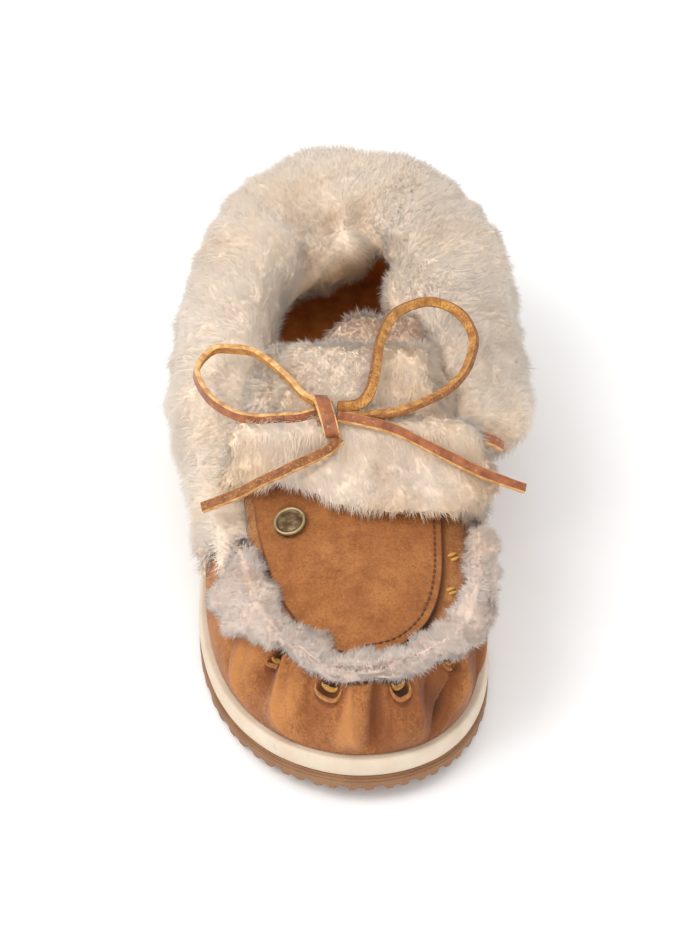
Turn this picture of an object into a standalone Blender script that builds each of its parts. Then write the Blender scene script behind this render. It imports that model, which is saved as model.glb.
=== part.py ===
"""Sheepskin slipper for the right foot: gum rubber sole, suede upper, shearling cuff and a thong bow.

Lengths are metres. +Z is up, the toe points along -Y, and the lateral side is at -X.
The origin is on the floor under the middle of the slipper.
"""

import math
from collections import namedtuple

import bmesh
import bpy
import numpy as np
from mathutils import Vector

# Driving sizes
SOLE_LENGTH = 0.257
BALL_WIDTH = 0.098
COLLAR_HEIGHT = 0.063
CUFF_BACK_REACH = 0.011
GAP = 0.0003

# Sole
TOE_AXIS_X = 0.003
HEEL_AXIS_X = -0.002
OUTSOLE_THICKNESS = 0.0062
OUTSOLE_STEP = 0.0008
MIDSOLE_THICKNESS = 0.0074
MIDSOLE_ROUNDING = 0.0016
INSOLE_THICKNESS = 0.004
TOE_SPRING = 0.0048
ARCH_RISE = 0.0022
LUG_DEPTH = 0.0022
LUG_GROOVE = 0.003
LUG_PITCH = 0.0150
LUG_BEVEL = 0.0014
SCALLOP_RISE = 0.0028
BAND_EDGE = 0.0004
FOREFOOT_LUGS = (0.17, 0.50)
HEEL_LUGS = (0.74, 0.95)
CENTRE_GROOVE = 0.004
CENTRE_GROOVE_DEPTH = 0.0018
SOLE_FACE_INSET = 0.004
SOLE_CORE = 0.55
SPINE = (0.13, 0.87)
INSOLE_GAP = 0.0004

# Upper
UPPER_WALL = 0.0018
UPPER_INSET = 0.003
TOE_BULGE = 0.002
PLUG_THICKNESS = 0.0018
PLUG_CROWN = 0.0075
THROAT_ALONG = 0.405
TOE_BLUNT = 0.4
LEAN_CURVE = 1.7
FOLD_CURVE = 1.2
PANEL_THICKNESS = 0.0013
PANEL_GAP = 0.0005
PANEL_MARGIN_LATERAL = 0.003
PANEL_MARGIN_MEDIAL = 0.0085
PANEL_MARGIN_TOE = 0.0085

# Wool
SEAM_WOOL_WIDTH = 0.011
SEAM_WOOL_HEIGHT = 0.0075
SEAM_WOOL_ENDS = (0.268, 0.300)
TONGUE_INSET = 0.002
TONGUE_HALF_WIDTH = BALL_WIDTH / 2 - TONGUE_INSET
TONGUE_DROOP = 0.0052
TONGUE_SWEEP = 0.015
TONGUE_CLEARANCE = 0.0009
CUFF_REACH = 0.025
CUFF_CREST = 0.0145
CUFF_INNER = 0.0195
CUFF_DEPTH = 0.020
CUFF_GAP = 0.0014
LOCK_HEIGHT = 0.0032

SEAM_WOOL_LIFT = 0.0005
SEAM_WOOL_STATIONS = 46
WOOL_LEG_ENDS = (0.03, 0.97)

# Badge
BADGE_RADIUS = 0.0055
BADGE_HEIGHT = 0.0018
BADGE_ALONG = 0.276
BADGE_X = -0.0192

# Lace
LACE_DIAMETER = 0.003
KNOT_X = -0.0078
KNOT_WIDTH = 0.0062
KNOT_HEIGHT = 0.0066
KNOT_SIDES = 8

# Resolution
OUTSOLE_STEPS = 78
SOLE_STEPS = 64
UPPER_STEPS = 84
BADGE_STEPS = 18
TWO_PI = 2 * math.pi

# Half widths of the sole, as shares of the ball width, at shares of the length from the toe
SoleRow = namedtuple("SoleRow", "along lateral medial")
SOLE_ROWS = (
    SoleRow(0.00, 0.533, 0.449),
    SoleRow(0.33, 0.533, 0.449),
    SoleRow(0.46, 0.508, 0.420),
    SoleRow(0.62, 0.455, 0.375),
    SoleRow(0.80, 0.385, 0.370),
    SoleRow(1.00, 0.370, 0.365),
)

# Rounded ends of the outline: how far each reaches along the sole, and how square it is
EndRow = namedtuple("EndRow", "reach power")
TOE_LATERAL = EndRow(0.292, 2.0)
TOE_MEDIAL = EndRow(0.234, 2.2)
HEEL_END = EndRow(0.145, 2.1)

# Height of the tread as a share of the arch's rise, and of the layers above as a share of the toe spring
RiseRow = namedtuple("RiseRow", "along spring arch")
RISE_ROWS = (
    RiseRow(0.00, 1.00, 0.0),
    RiseRow(0.05, 0.60, 0.0),
    RiseRow(0.11, 0.20, 0.0),
    RiseRow(0.17, 0.00, 0.0),
    RiseRow(0.50, 0.00, 0.0),
    RiseRow(0.58, 0.00, 1.0),
    RiseRow(0.66, 0.00, 1.0),
    RiseRow(0.74, 0.00, 0.0),
    RiseRow(0.95, 0.00, 0.0),
    RiseRow(1.00, 0.35, 0.0),
)

# Top edge of the upper: lean inwards as a share of the ball width, height as a share of the collar height
TopRow = namedtuple("TopRow", "along lateral medial height crown")
TOP_ROWS = (
    TopRow(0.00, 0.090, 0.090, 0.65, 0.00),
    TopRow(0.06, 0.104, 0.062, 0.66, 0.05),
    TopRow(0.12, 0.115, 0.036, 0.68, 0.35),
    TopRow(0.23, 0.126, 0.022, 0.75, 0.80),
    TopRow(0.34, 0.107, 0.018, 0.83, 1.00),
    TopRow(0.45, 0.076, 0.016, 0.90, 1.00),
    TopRow(0.55, 0.052, 0.016, 0.94, 1.00),
    TopRow(0.75, 0.026, 0.016, 0.97, 1.00),
    TopRow(1.00, 0.042, 0.042, 1.00, 1.00),
)

# Gathered folds of the toe wall, by the distance from the toe tip round the edge, medial side positive
Fold = namedtuple("Fold", "arc height width")
FOLDS = (
    Fold(-0.074, 0.0010, 0.0075),
    Fold(-0.052, 0.0024, 0.0080),
    Fold(-0.041, -0.0018, 0.0060),
    Fold(-0.030, 0.0024, 0.0070),
    Fold(-0.016, -0.0018, 0.0065),
    Fold(-0.004, 0.0024, 0.0065),
    Fold(0.006, -0.0026, 0.0050),
    Fold(0.017, 0.0018, 0.0065),
    Fold(0.031, -0.0034, 0.0065),
    Fold(0.044, 0.0020, 0.0065),
    Fold(0.057, -0.0020, 0.0060),
    Fold(0.072, 0.0010, 0.0070),
)

# Section of the seam's wool: across the seam and above it, as shares of the ring's width and height
SEAM_WOOL_SECTION = (
    (-0.46, 0.36), (-0.44, 0.60), (-0.16, 0.86), (0.14, 1.0), (0.44, 0.74), (0.60, 0.30), (0.54, -0.10),
    (0.10, 0.08),
)

# Cuff sections from the lateral front end round the heel to the medial front end. Reach, crest, inner and
# depth are shares of the cuff's sizes, and low is the lower edge as a share of the collar height.
CuffRow = namedtuple("CuffRow", "place reach crest inner depth low")
CUFF_ROWS = (
    CuffRow(0.00, 0.40, 0.03, 0.00, 0.00, 0.44),
    CuffRow(0.03, 0.56, 0.05, 0.00, 0.00, 0.36),
    CuffRow(0.07, 0.69, 0.16, 0.24, 0.00, 0.36),
    CuffRow(0.10, 0.78, 0.42, 0.50, 0.00, 0.38),
    CuffRow(0.13, 0.87, 0.66, 0.64, 0.00, 0.41),
    CuffRow(0.17, 0.96, 0.85, 0.76, 0.40, 0.44),
    CuffRow(0.22, 0.99, 0.95, 0.90, 0.90, 0.47),
    CuffRow(0.28, 0.96, 1.00, 1.00, 1.00, 0.49),
    CuffRow(0.35, 0.77, 1.00, 1.08, 1.00, 0.51),
    CuffRow(0.42, 0.53, 0.98, 1.15, 1.00, 0.53),
    CuffRow(0.47, 0.60, 0.94, 1.30, 1.00, 0.54),
    CuffRow(0.54, 0.70, 0.90, 1.50, 1.00, 0.55),
    CuffRow(0.60, 0.62, 0.94, 1.30, 1.00, 0.56),
    CuffRow(0.67, 0.66, 0.98, 1.15, 1.00, 0.57),
    CuffRow(0.73, 0.90, 1.00, 1.04, 1.00, 0.59),
    CuffRow(0.82, 1.13, 1.00, 0.80, 1.00, 0.61),
    CuffRow(0.90, 1.15, 0.95, 0.42, 1.00, 0.63),
    CuffRow(0.97, 1.12, 0.80, 0.36, 0.80, 0.66),
    CuffRow(1.00, 0.84, 0.50, 0.32, 0.80, 0.72),
)
CUFF_START = 0.280
CUFF_END = 0.445
CUFF_STATIONS = 50

# Side profile of the folded tongue: distance from the toe as a share of the sole length, and height above the
# plug as a share of the fold's height. Leaf 1 is the flap's top, and leaf 0 its underside.
FlapRow = namedtuple("FlapRow", "along height leaf")
FLAP_HEIGHT = 0.0185
FLAP_ROWS = (
    FlapRow(0.272, 0.00, 0),
    FlapRow(0.266, 0.14, 1),
    FlapRow(0.280, 0.34, 1),
    FlapRow(0.308, 0.46, 1),
    FlapRow(0.345, 0.62, 0.4),
    FlapRow(0.380, 0.50, 0),
    FlapRow(0.414, 0.84, 0.4),
    FlapRow(0.456, 0.98, 1),
    FlapRow(0.488, 1.00, 1),
    FlapRow(0.512, 0.84, 1),
    FlapRow(0.520, 0.60, 1),
    FlapRow(0.506, 0.36, 0),
    FlapRow(0.478, 0.18, 0),
    FlapRow(0.440, 0.08, 0),
    FlapRow(0.400, 0.00, 0),
    FlapRow(0.350, 0.00, 0),
    FlapRow(0.306, 0.00, 0),
)
# How far back the flap's lip lies across its width, as a share of its sweep
LipRow = namedtuple("LipRow", "across back")
LIP_ROWS = (
    LipRow(-1.00, 1.00),
    LipRow(-0.47, 0.86),
    LipRow(-0.10, 0.15),
    LipRow(0.15, 0.00),
    LipRow(0.55, 0.12),
    LipRow(0.85, 0.50),
    LipRow(1.00, 1.00),
)
FLAP_STATIONS = 19
FLAP_BACK_INSET = 0.023
FLAP_BACK_HALF_WIDTH = BALL_WIDTH / 2 - FLAP_BACK_INSET
FLAP_NARROWS = (0.32, 0.46)
SWEEP_FADES = (0.27, 0.38)
FLAP_SIDES = 0.82
FLAP_THINS = 0.55

# Half section of the badge, from the middle of its face to the middle of its back: shares of radius and height
BADGE_PROFILE = (
    (0.0, 1.0), (0.35, 0.94), (0.68, 0.78), (0.74, 0.62), (0.80, 0.72), (0.90, 0.86), (0.98, 0.66), (1.0, 0.3),
    (0.96, 0.0), (0.0, 0.0),
)

# The lace lies on the wool in a bow: X, distance from the toe, and Z
LACE_LOOP_LEFT = (
    (-0.0115, 0.0975, 0.0805), (-0.0165, 0.0960, 0.0800), (-0.0205, 0.0960, 0.0795), (-0.0260, 0.0960, 0.0790),
    (-0.0305, 0.0965, 0.0785), (-0.0380, 0.0995, 0.0780), (-0.0460, 0.1085, 0.0770), (-0.0510, 0.1210, 0.0765),
    (-0.0500, 0.1280, 0.0770), (-0.0455, 0.1340, 0.0775), (-0.0390, 0.1330, 0.0785), (-0.0325, 0.1290, 0.0805),
    (-0.0260, 0.1190, 0.0835), (-0.0195, 0.1080, 0.0853), (-0.0155, 0.1015, 0.0848), (-0.0115, 0.0993, 0.0838),
)
LACE_LOOP_RIGHT = (
    (-0.0040, 0.0995, 0.0815), (0.0000, 0.0993, 0.0818), (0.0035, 0.1000, 0.0825), (0.0062, 0.1025, 0.0845),
    (0.0078, 0.1070, 0.0870), (0.0088, 0.1140, 0.0888), (0.0100, 0.1230, 0.0900), (0.0130, 0.1355, 0.0885),
    (0.0180, 0.1455, 0.0860), (0.0260, 0.1525, 0.0835), (0.0330, 0.1535, 0.0810), (0.0385, 0.1485, 0.0800),
    (0.0415, 0.1390, 0.0795),
    (0.0410, 0.1305, 0.0795), (0.0380, 0.1190, 0.0800), (0.0320, 0.1085, 0.0810), (0.0240, 0.1010, 0.0820),
    (0.0165, 0.0965, 0.0820), (0.0100, 0.0955, 0.0815), (0.0035, 0.0960, 0.0805), (-0.0040, 0.0960, 0.0800),
)
LACE_TAIL_LEFT = (
    (-0.0030, 0.0870, 0.0780), (-0.0075, 0.0835, 0.0760), (-0.0125, 0.0815, 0.0745), (-0.0180, 0.0795, 0.0730),
    (-0.0230, 0.0780, 0.0710), (-0.0280, 0.0770, 0.0690), (-0.0355, 0.0750, 0.0655), (-0.0430, 0.0750, 0.0615),
    (-0.0480, 0.0750, 0.0590),
)
LACE_TAIL_RIGHT = (
    (-0.0040, 0.0925, 0.0830), (0.0025, 0.0918, 0.0820), (0.0110, 0.0903, 0.0808), (0.0165, 0.0883, 0.0798),
    (0.0215, 0.0865, 0.0780), (0.0315, 0.0825, 0.0747), (0.0415, 0.0815, 0.0690), (0.0515, 0.0810, 0.0645),
    (0.0570, 0.0810, 0.0620),
)
# The bar lies in the flap's pressed valley, from one collar hole to the other. Its height above the face under
# the flap is a share of the flap's height.
BarRow = namedtuple("BarRow", "x from_toe height")
BAR_ROWS = (
    BarRow(-0.0385, 0.0960, 0.55),
    BarRow(-0.0345, 0.0957, 0.72),
    BarRow(-0.0300, 0.0955, 0.75),
    BarRow(-0.0200, 0.0955, 0.71),
    BarRow(-0.0080, 0.0955, 0.675),
    BarRow(0.0050, 0.0955, 0.655),
    BarRow(0.0180, 0.0955, 0.67),
    BarRow(0.0280, 0.0955, 0.69),
    BarRow(0.0350, 0.0955, 0.69),
    BarRow(0.0410, 0.0957, 0.64),
    BarRow(0.0465, 0.0965, 0.53),
    BarRow(0.0500, 0.0980, 0.35),
)
# The knot is a wrapped band across the bar: distance from the toe, height, and share of the knot's section
KnotRow = namedtuple("KnotRow", "from_toe height share")
KNOT_ROWS = (
    KnotRow(0.0868, 0.0793, 0.55),
    KnotRow(0.0882, 0.0797, 0.90),
    KnotRow(0.0912, 0.0806, 1.00),
    KnotRow(0.0943, 0.0815, 0.93),
    KnotRow(0.0974, 0.0826, 1.00),
    KnotRow(0.1004, 0.0838, 0.90),
    KnotRow(0.1018, 0.0844, 0.55),
)


def read(rows, column, at):
    """The column's value on a smooth curve through the rows that never swings past them."""
    places = [row[0] for row in rows]
    values = [getattr(row, column) for row in rows]
    at = min(max(at, places[0]), places[-1])
    slopes = [(values[k + 1] - values[k]) / (places[k + 1] - places[k]) for k in range(len(rows) - 1)]
    tangents = [0.0]
    for before, after in zip(slopes, slopes[1:]):
        tangents.append(2 * before * after / (before + after) if before * after > 0 else 0.0)
    tangents.append(0.0)
    k = max(index for index in range(len(slopes)) if places[index] <= at)
    span = places[k + 1] - places[k]
    t = (at - places[k]) / span
    start = values[k] * (1 + 2 * t) * (1 - t) ** 2 + tangents[k] * span * t * (1 - t) ** 2
    return start + values[k + 1] * t * t * (3 - 2 * t) + tangents[k + 1] * span * t * t * (t - 1)


def wobble(*keys):
    """A repeatable number from 0 to 1 for a place."""
    mixed = sum((index + 1) * 12.9898 * key for index, key in enumerate(keys))
    return (math.sin(mixed) * 43758.5453) % 1.0


def y_at(along):
    return along * SOLE_LENGTH - (SOLE_LENGTH + CUFF_BACK_REACH) / 2


def along_at(y):
    return min(max((y + (SOLE_LENGTH + CUFF_BACK_REACH) / 2) / SOLE_LENGTH, 0.0), 1.0)


def rounded(distance, end):
    """Share of the full width near an end of the outline."""
    inside = max(1 - distance / end.reach, 0.0)
    return (1 - inside**end.power) ** (1 / end.power)


def outline(turn):
    """Plan point of the sole's edge: turn 0 is the toe tip, and pi is the heel, by way of the lateral side."""
    along = (1 - math.cos(turn)) / 2
    lateral = math.sin(turn) >= 0
    half = BALL_WIDTH * read(SOLE_ROWS, "lateral" if lateral else "medial", along)
    half *= rounded(along, TOE_LATERAL if lateral else TOE_MEDIAL) * rounded(1 - along, HEEL_END)
    axis = TOE_AXIS_X + (HEEL_AXIS_X - TOE_AXIS_X) * along
    return Vector((axis - half if lateral else axis + half, y_at(along), 0))


def outward(turn):
    """Level unit vector that points out of the outline."""
    step = 0.01
    way = outline(turn + step) - outline(turn - step)
    return Vector((-way.y, way.x, 0)).normalized()


def edge(turn, inset=0.0):
    return outline(turn) - outward(turn) * inset


def turns(steps):
    return [TWO_PI * index / steps for index in range(steps)]


def spring(along):
    return TOE_SPRING * read(RISE_ROWS, "spring", along)


def tread(along):
    return spring(along) + ARCH_RISE * read(RISE_ROWS, "arch", along)


def ring(steps, inset, height, pull=0.0):
    """A closed ring of points inside the outline. Pull draws it towards the sole's middle line."""
    points = []
    for turn in turns(steps):
        point = edge(turn, inset)
        middle_y = y_at(SPINE[0] + (SPINE[1] - SPINE[0]) * along_at(point.y))
        middle = Vector((TOE_AXIS_X + (HEEL_AXIS_X - TOE_AXIS_X) * along_at(point.y), middle_y, 0))
        point = point.lerp(middle, pull)
        point.z = height(along_at(point.y))
        points.append(point)
    return points


def smooth_shaded(mesh, angle=40):
    mesh.shade_smooth()
    mesh.set_sharp_from_angle(angle=math.radians(angle))


def material(name, color, roughness, metallic=0.0):
    made = bpy.data.materials.new(name)
    made.use_nodes = True
    shader = made.node_tree.nodes["Principled BSDF"]
    shader.inputs["Base Color"].default_value = (*color, 1)
    shader.inputs["Roughness"].default_value = roughness
    shader.inputs["Metallic"].default_value = metallic
    return made


def finished(bm, name, collection, finish):
    """An object from the bmesh, closed and with its faces pointing out."""
    bmesh.ops.remove_doubles(bm, verts=bm.verts, dist=1e-7)
    bmesh.ops.triangulate(bm, faces=bm.faces)
    bmesh.ops.recalc_face_normals(bm, faces=bm.faces)
    if bm.calc_volume(signed=True) < 0:
        bmesh.ops.reverse_faces(bm, faces=bm.faces)
    mesh = bpy.data.meshes.new(name)
    bm.to_mesh(mesh)
    bm.free()
    smooth_shaded(mesh)
    mesh.materials.append(finish)
    made = bpy.data.objects.new(name, mesh)
    collection.objects.link(made)
    return made


def bridge(bm, first, second):
    count = len(first)
    for index in range(count):
        after = (index + 1) % count
        bm.faces.new((first[index], first[after], second[after], second[index]))


def close_across(bm, loop):
    """Closes a ring with strips that run from its lateral to its medial side."""
    count = len(loop)
    for index in range(count // 2):
        others = (loop[(count - index - 1) % count], loop[(count - index) % count])
        unique = list(dict.fromkeys((loop[index], loop[index + 1], *others)))
        bm.faces.new(unique)


def slab(name, rings, collection, finish):
    """A plate whose rings run from the middle of its underside, round its edge, to the middle of its top."""
    bm = bmesh.new()
    loops = [[bm.verts.new(point) for point in points] for points in rings]
    for first, second in zip(loops, loops[1:]):
        bridge(bm, first, second)
    close_across(bm, loops[0])
    close_across(bm, loops[-1])
    return finished(bm, name, collection, finish)


def swept(name, sections, collection, finish):
    """A solid through closed sections along an open path, with a face at each end."""
    bm = bmesh.new()
    loops = [[bm.verts.new(point) for point in points] for points in sections]
    for first, second in zip(loops, loops[1:]):
        bridge(bm, first, second)
    bm.faces.new(loops[0])
    bm.faces.new(loops[-1])
    return finished(bm, name, collection, finish)


def sheet(name, grid, thickness, collection, finish):
    """A solid from a grid of top points and a copy of it one thickness lower."""
    bm = bmesh.new()
    upper = [[bm.verts.new(point) for point in row] for row in grid]
    lower = [[bm.verts.new(point - Vector((0, 0, thickness))) for point in row] for row in grid]
    rows, columns = len(grid), len(grid[0])
    for i in range(rows - 1):
        for j in range(columns - 1):
            bm.faces.new((upper[i][j], upper[i][j + 1], upper[i + 1][j + 1], upper[i + 1][j]))
            bm.faces.new((lower[i][j], lower[i + 1][j], lower[i + 1][j + 1], lower[i][j + 1]))
        for j in (0, columns - 1):
            bm.faces.new((upper[i][j], upper[i + 1][j], lower[i + 1][j], lower[i][j]))
    for j in range(columns - 1):
        for i in (0, rows - 1):
            bm.faces.new((upper[i][j], lower[i][j], lower[i][j + 1], upper[i][j + 1]))
    return finished(bm, name, collection, finish)


def add_outsole(collection, cutters):
    """Cup of gum rubber: bevelled lugs along its lower edge, a step near its top, and grooves under it."""
    finish = material("gum_rubber", (0.33, 0.17, 0.08), 0.75)
    side = OUTSOLE_THICKNESS - OUTSOLE_STEP

    def top(along):
        return spring(along) + OUTSOLE_THICKNESS

    lower_edge = ring(OUTSOLE_STEPS, LUG_BEVEL, tread)
    for index, point in enumerate(lower_edge):
        if index % 2:
            point.z = spring(along_at(point.y)) + SCALLOP_RISE
    rings = [
        ring(OUTSOLE_STEPS, SOLE_FACE_INSET, tread, pull=SOLE_CORE),
        ring(OUTSOLE_STEPS, SOLE_FACE_INSET, tread),
        lower_edge,
        ring(OUTSOLE_STEPS, 0, lambda along: spring(along) + SCALLOP_RISE + BAND_EDGE),
        ring(OUTSOLE_STEPS, 0, lambda along: spring(along) + side - BAND_EDGE),
        ring(OUTSOLE_STEPS, OUTSOLE_STEP, lambda along: spring(along) + side),
        ring(OUTSOLE_STEPS, OUTSOLE_STEP, top),
        ring(OUTSOLE_STEPS, SOLE_FACE_INSET, top, pull=SOLE_CORE),
    ]
    outsole = slab("outsole", rings, collection, finish)
    grooves = []
    for start, end in (FOREFOOT_LUGS, HEEL_LUGS):
        count = round((end - start) * SOLE_LENGTH / LUG_PITCH)
        for index in range(count):
            along = start + (end - start) * (index + 0.5) / count
            grooves.append((Vector((0, y_at(along), 0)), (2 * BALL_WIDTH, LUG_GROOVE, 2 * LUG_DEPTH)))
        middle = Vector((0, y_at((start + end) / 2), 0))
        grooves.append((middle, (CENTRE_GROOVE, (end - start) * SOLE_LENGTH, 2 * CENTRE_GROOVE_DEPTH)))
    for index, (place, size) in enumerate(grooves):
        bm = bmesh.new()
        bmesh.ops.create_cube(bm, size=1)
        bmesh.ops.scale(bm, vec=size, verts=bm.verts)
        bmesh.ops.translate(bm, vec=place, verts=bm.verts)
        cutter = finished(bm, f"groove_cutter_{index + 1}", cutters, finish)
        cutter.hide_render = True
        cutter.display_type = "WIRE"
        cut = outsole.modifiers.new(cutter.name, "BOOLEAN")
        cut.operation = "DIFFERENCE"
        cut.object = cutter


def sole_top(along):
    return spring(along) + OUTSOLE_THICKNESS + GAP + MIDSOLE_THICKNESS


def add_midsole(collection):
    """Cream foam plate whose edge shows as a half-round band."""
    finish = material("cream_foam", (0.80, 0.68, 0.52), 0.6)
    base = OUTSOLE_THICKNESS + GAP
    profile = ((0.9, 0.0), (0.25, 0.2), (0.0, 0.5), (0.2, 0.78), (1.0, 1.0))
    rings = [ring(SOLE_STEPS, SOLE_FACE_INSET, lambda along: spring(along) + base, pull=SOLE_CORE)]
    for inset, rise in profile:
        height = base + MIDSOLE_THICKNESS * rise
        rings.append(ring(SOLE_STEPS, MIDSOLE_ROUNDING * inset, lambda along, h=height: spring(along) + h))
    rings.append(ring(SOLE_STEPS, SOLE_FACE_INSET, sole_top))
    rings.append(ring(SOLE_STEPS, SOLE_FACE_INSET, sole_top, pull=SOLE_CORE))
    slab("midsole", rings, collection, finish)


def add_insole(collection):
    """Footbed that lies on the midsole inside the upper."""
    finish = material("insole_wool", (0.62, 0.40, 0.22), 0.95)
    inset = UPPER_INSET + UPPER_WALL + 3 * GAP

    def low(along):
        return sole_top(along) + INSOLE_GAP

    def high(along):
        return low(along) + INSOLE_THICKNESS

    rings = [
        ring(SOLE_STEPS, inset, low, pull=SOLE_CORE),
        ring(SOLE_STEPS, inset, low),
        ring(SOLE_STEPS, inset, high),
        ring(SOLE_STEPS, inset, high, pull=SOLE_CORE),
    ]
    slab("insole", rings, collection, finish)


def arc_table():
    """Distances from the toe tip round the edge at even turns."""
    fine = [outline(TWO_PI * index / 720) for index in range(721)]
    lengths = [0.0]
    for first, second in zip(fine, fine[1:]):
        lengths.append(lengths[-1] + (second - first).length)
    return lengths


ARCS = arc_table()


def arc_at(turn):
    """Signed distance from the toe tip round the edge, medial side positive."""
    here = float(np.interp(turn % TWO_PI, np.linspace(0, TWO_PI, len(ARCS)), ARCS))
    return -here if here < ARCS[-1] / 2 else ARCS[-1] - here


def folds_at(turn):
    arc = arc_at(turn)
    return sum(fold.height * math.exp(-(((arc - fold.arc) / fold.width) ** 2)) for fold in FOLDS)


def lean(turn):
    along = (1 - math.cos(turn)) / 2
    side = "lateral" if math.sin(turn) >= 0 else "medial"
    return BALL_WIDTH * read(TOP_ROWS, side, along)


def top_height(along):
    return COLLAR_HEIGHT * read(TOP_ROWS, "height", along)


def wall_point(turn, rise, depth=0.0):
    """Point of the upper's wall: rise 0 stands on the sole and 1 is the top edge. Depth goes into the wall."""
    along = (1 - math.cos(turn)) / 2
    inset = UPPER_INSET + lean(turn) * rise**LEAN_CURVE + depth
    soft = math.sin(math.pi * rise**FOLD_CURVE)
    out = TOE_BULGE * math.sin(math.pi * rise) + folds_at(turn) * soft
    point = edge(turn, inset) + outward(turn) * out
    foot = sole_top(along_at(point.y)) + GAP
    point.z = foot + (top_height(along) - foot) * rise
    return point


def add_upper(collection):
    """One hollow wall from the toe seam to the collar, open at the top and underneath."""
    finish = material("suede", (0.48, 0.22, 0.08), 0.9)
    rises = (0.0, 0.16, 0.36, 0.56, 0.76, 1.0)
    rings = [[wall_point(turn, rise) for turn in turns(UPPER_STEPS)] for rise in rises]
    rings += [[wall_point(turn, rise, UPPER_WALL) for turn in turns(UPPER_STEPS)] for rise in reversed(rises)]
    bm = bmesh.new()
    loops = [[bm.verts.new(point) for point in points] for points in rings]
    for first, second in zip(loops, loops[1:] + loops[:1]):
        bridge(bm, first, second)
    finished(bm, "upper", collection, finish)


def seam_point(turn, inset):
    """Point inside the top edge of the upper, measured level from its outer face."""
    point = edge(turn, UPPER_INSET + lean(turn) + inset)
    point.z = top_height((1 - math.cos(turn)) / 2)
    return point


def side_table(side):
    """Along and X of the plug's edge on one side, from the toe back."""
    found = []
    for index in range(90):
        turn = math.pi * index / 90
        point = seam_point(turn if side == "lateral" else TWO_PI - turn, UPPER_WALL + GAP)
        found.append((along_at(point.y), point.x))
    return zip(*sorted(found))


LATERAL_SIDE = tuple(side_table("lateral"))
MEDIAL_SIDE = tuple(side_table("medial"))


def plug_height(x, along):
    """Height of the plug's upper face, crowned between the two sides of the seam."""
    low = float(np.interp(along, *LATERAL_SIDE))
    high = float(np.interp(along, *MEDIAL_SIDE))
    across = min(max((x - low) / max(high - low, 1e-6), 0.0), 1.0)
    crown = PLUG_CROWN * read(TOP_ROWS, "crown", along)
    return top_height(along) + crown * (1 - (2 * across - 1) ** 2)


def plug_grid(margins, lift, rows, columns):
    """Points over the plug, from the toe to the throat, inside margins (toe, lateral, medial)."""
    toe, lateral, medial = margins
    last = math.acos(1 - 2 * THROAT_ALONG)
    grid = []
    for i in range(rows):
        turn = last * max(i, TOE_BLUNT) / (rows - 1)
        share = math.sin(math.pi / 2 * i / (rows - 1)) ** 2
        left = seam_point(turn, UPPER_WALL + GAP + toe + (lateral - toe) * share)
        right = seam_point(TWO_PI - turn, UPPER_WALL + GAP + toe + (medial - toe) * share)
        row = []
        for j in range(columns):
            point = left.lerp(right, j / (columns - 1))
            point.z = plug_height(point.x, along_at(point.y)) + lift
            row.append(point)
        grid.append(row)
    return grid


def add_plug(collection):
    """Suede apron over the toes, crowned, with its edge inside the wall's top edge."""
    finish = material("plug_suede", (0.50, 0.23, 0.08), 0.9)
    sheet("plug", plug_grid((0, 0, 0), 0, 18, 8), PLUG_THICKNESS, collection, finish)


def add_panel(collection):
    """Second suede layer, cut from the plug's own surface inside its stitched margins."""
    finish = material("panel_suede", (0.47, 0.20, 0.07), 0.9)
    margins = (PANEL_MARGIN_TOE, PANEL_MARGIN_LATERAL, PANEL_MARGIN_MEDIAL)
    lift = PANEL_GAP + PANEL_THICKNESS
    sheet("apron_panel", plug_grid(margins, lift, 15, 8), PANEL_THICKNESS, collection, finish)


def lock(i, j, height=LOCK_HEIGHT):
    """How far a lock of wool stands out at a place: alternate points are tips, and the rest lie low."""
    if (i + j) % 2:
        return -0.25 * height
    return height * (0.45 + 0.55 * wobble(i, j))


def add_seam_wool(collection):
    """Ring of wool with locks that comes out of the seam between wall and plug."""
    finish = material("seam_wool", (0.72, 0.62, 0.52), 1.0)
    first, last = (math.acos(1 - 2 * along) for along in SEAM_WOOL_ENDS)
    sections = []
    for i in range(SEAM_WOOL_STATIONS):
        turn = first - (first + last) * i / (SEAM_WOOL_STATIONS - 1)
        out = outward(turn)
        base = seam_point(turn, 0)
        taper = min(1.0, 0.45 + 0.2 * min(i, SEAM_WOOL_STATIONS - 1 - i))
        section = []
        for j, (across, up) in enumerate(SEAM_WOOL_SECTION):
            point = base + out * (SEAM_WOOL_WIDTH * across * taper)
            point.z += SEAM_WOOL_LIFT + SEAM_WOOL_HEIGHT * up * taper
            if 0 < j < 6:
                way = (out * across + Vector((0, 0, 0.7))).normalized()
                point += way * lock(i, j, LOCK_HEIGHT * 0.6) * taper
            section.append(point)
        sections.append(section)
    swept("seam_wool", sections, collection, finish)


def flap_half_width(along):
    start, end = FLAP_NARROWS
    share = min(max((along - start) / (end - start), 0.0), 1.0)
    return TONGUE_HALF_WIDTH + (FLAP_BACK_HALF_WIDTH - TONGUE_HALF_WIDTH) * share * share * (3 - 2 * share)


def flap_base(along):
    """Height of the face that the flap lies on, along the middle line."""
    height = COLLAR_HEIGHT * read(TOP_ROWS, "height", min(along, 0.47))
    return height + PLUG_CROWN * read(TOP_ROWS, "crown", along) + PANEL_GAP + PANEL_THICKNESS + TONGUE_CLEARANCE


def droop_at(x):
    return TONGUE_DROOP * ((x - TOE_AXIS_X) / TONGUE_HALF_WIDTH) ** 2


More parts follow.
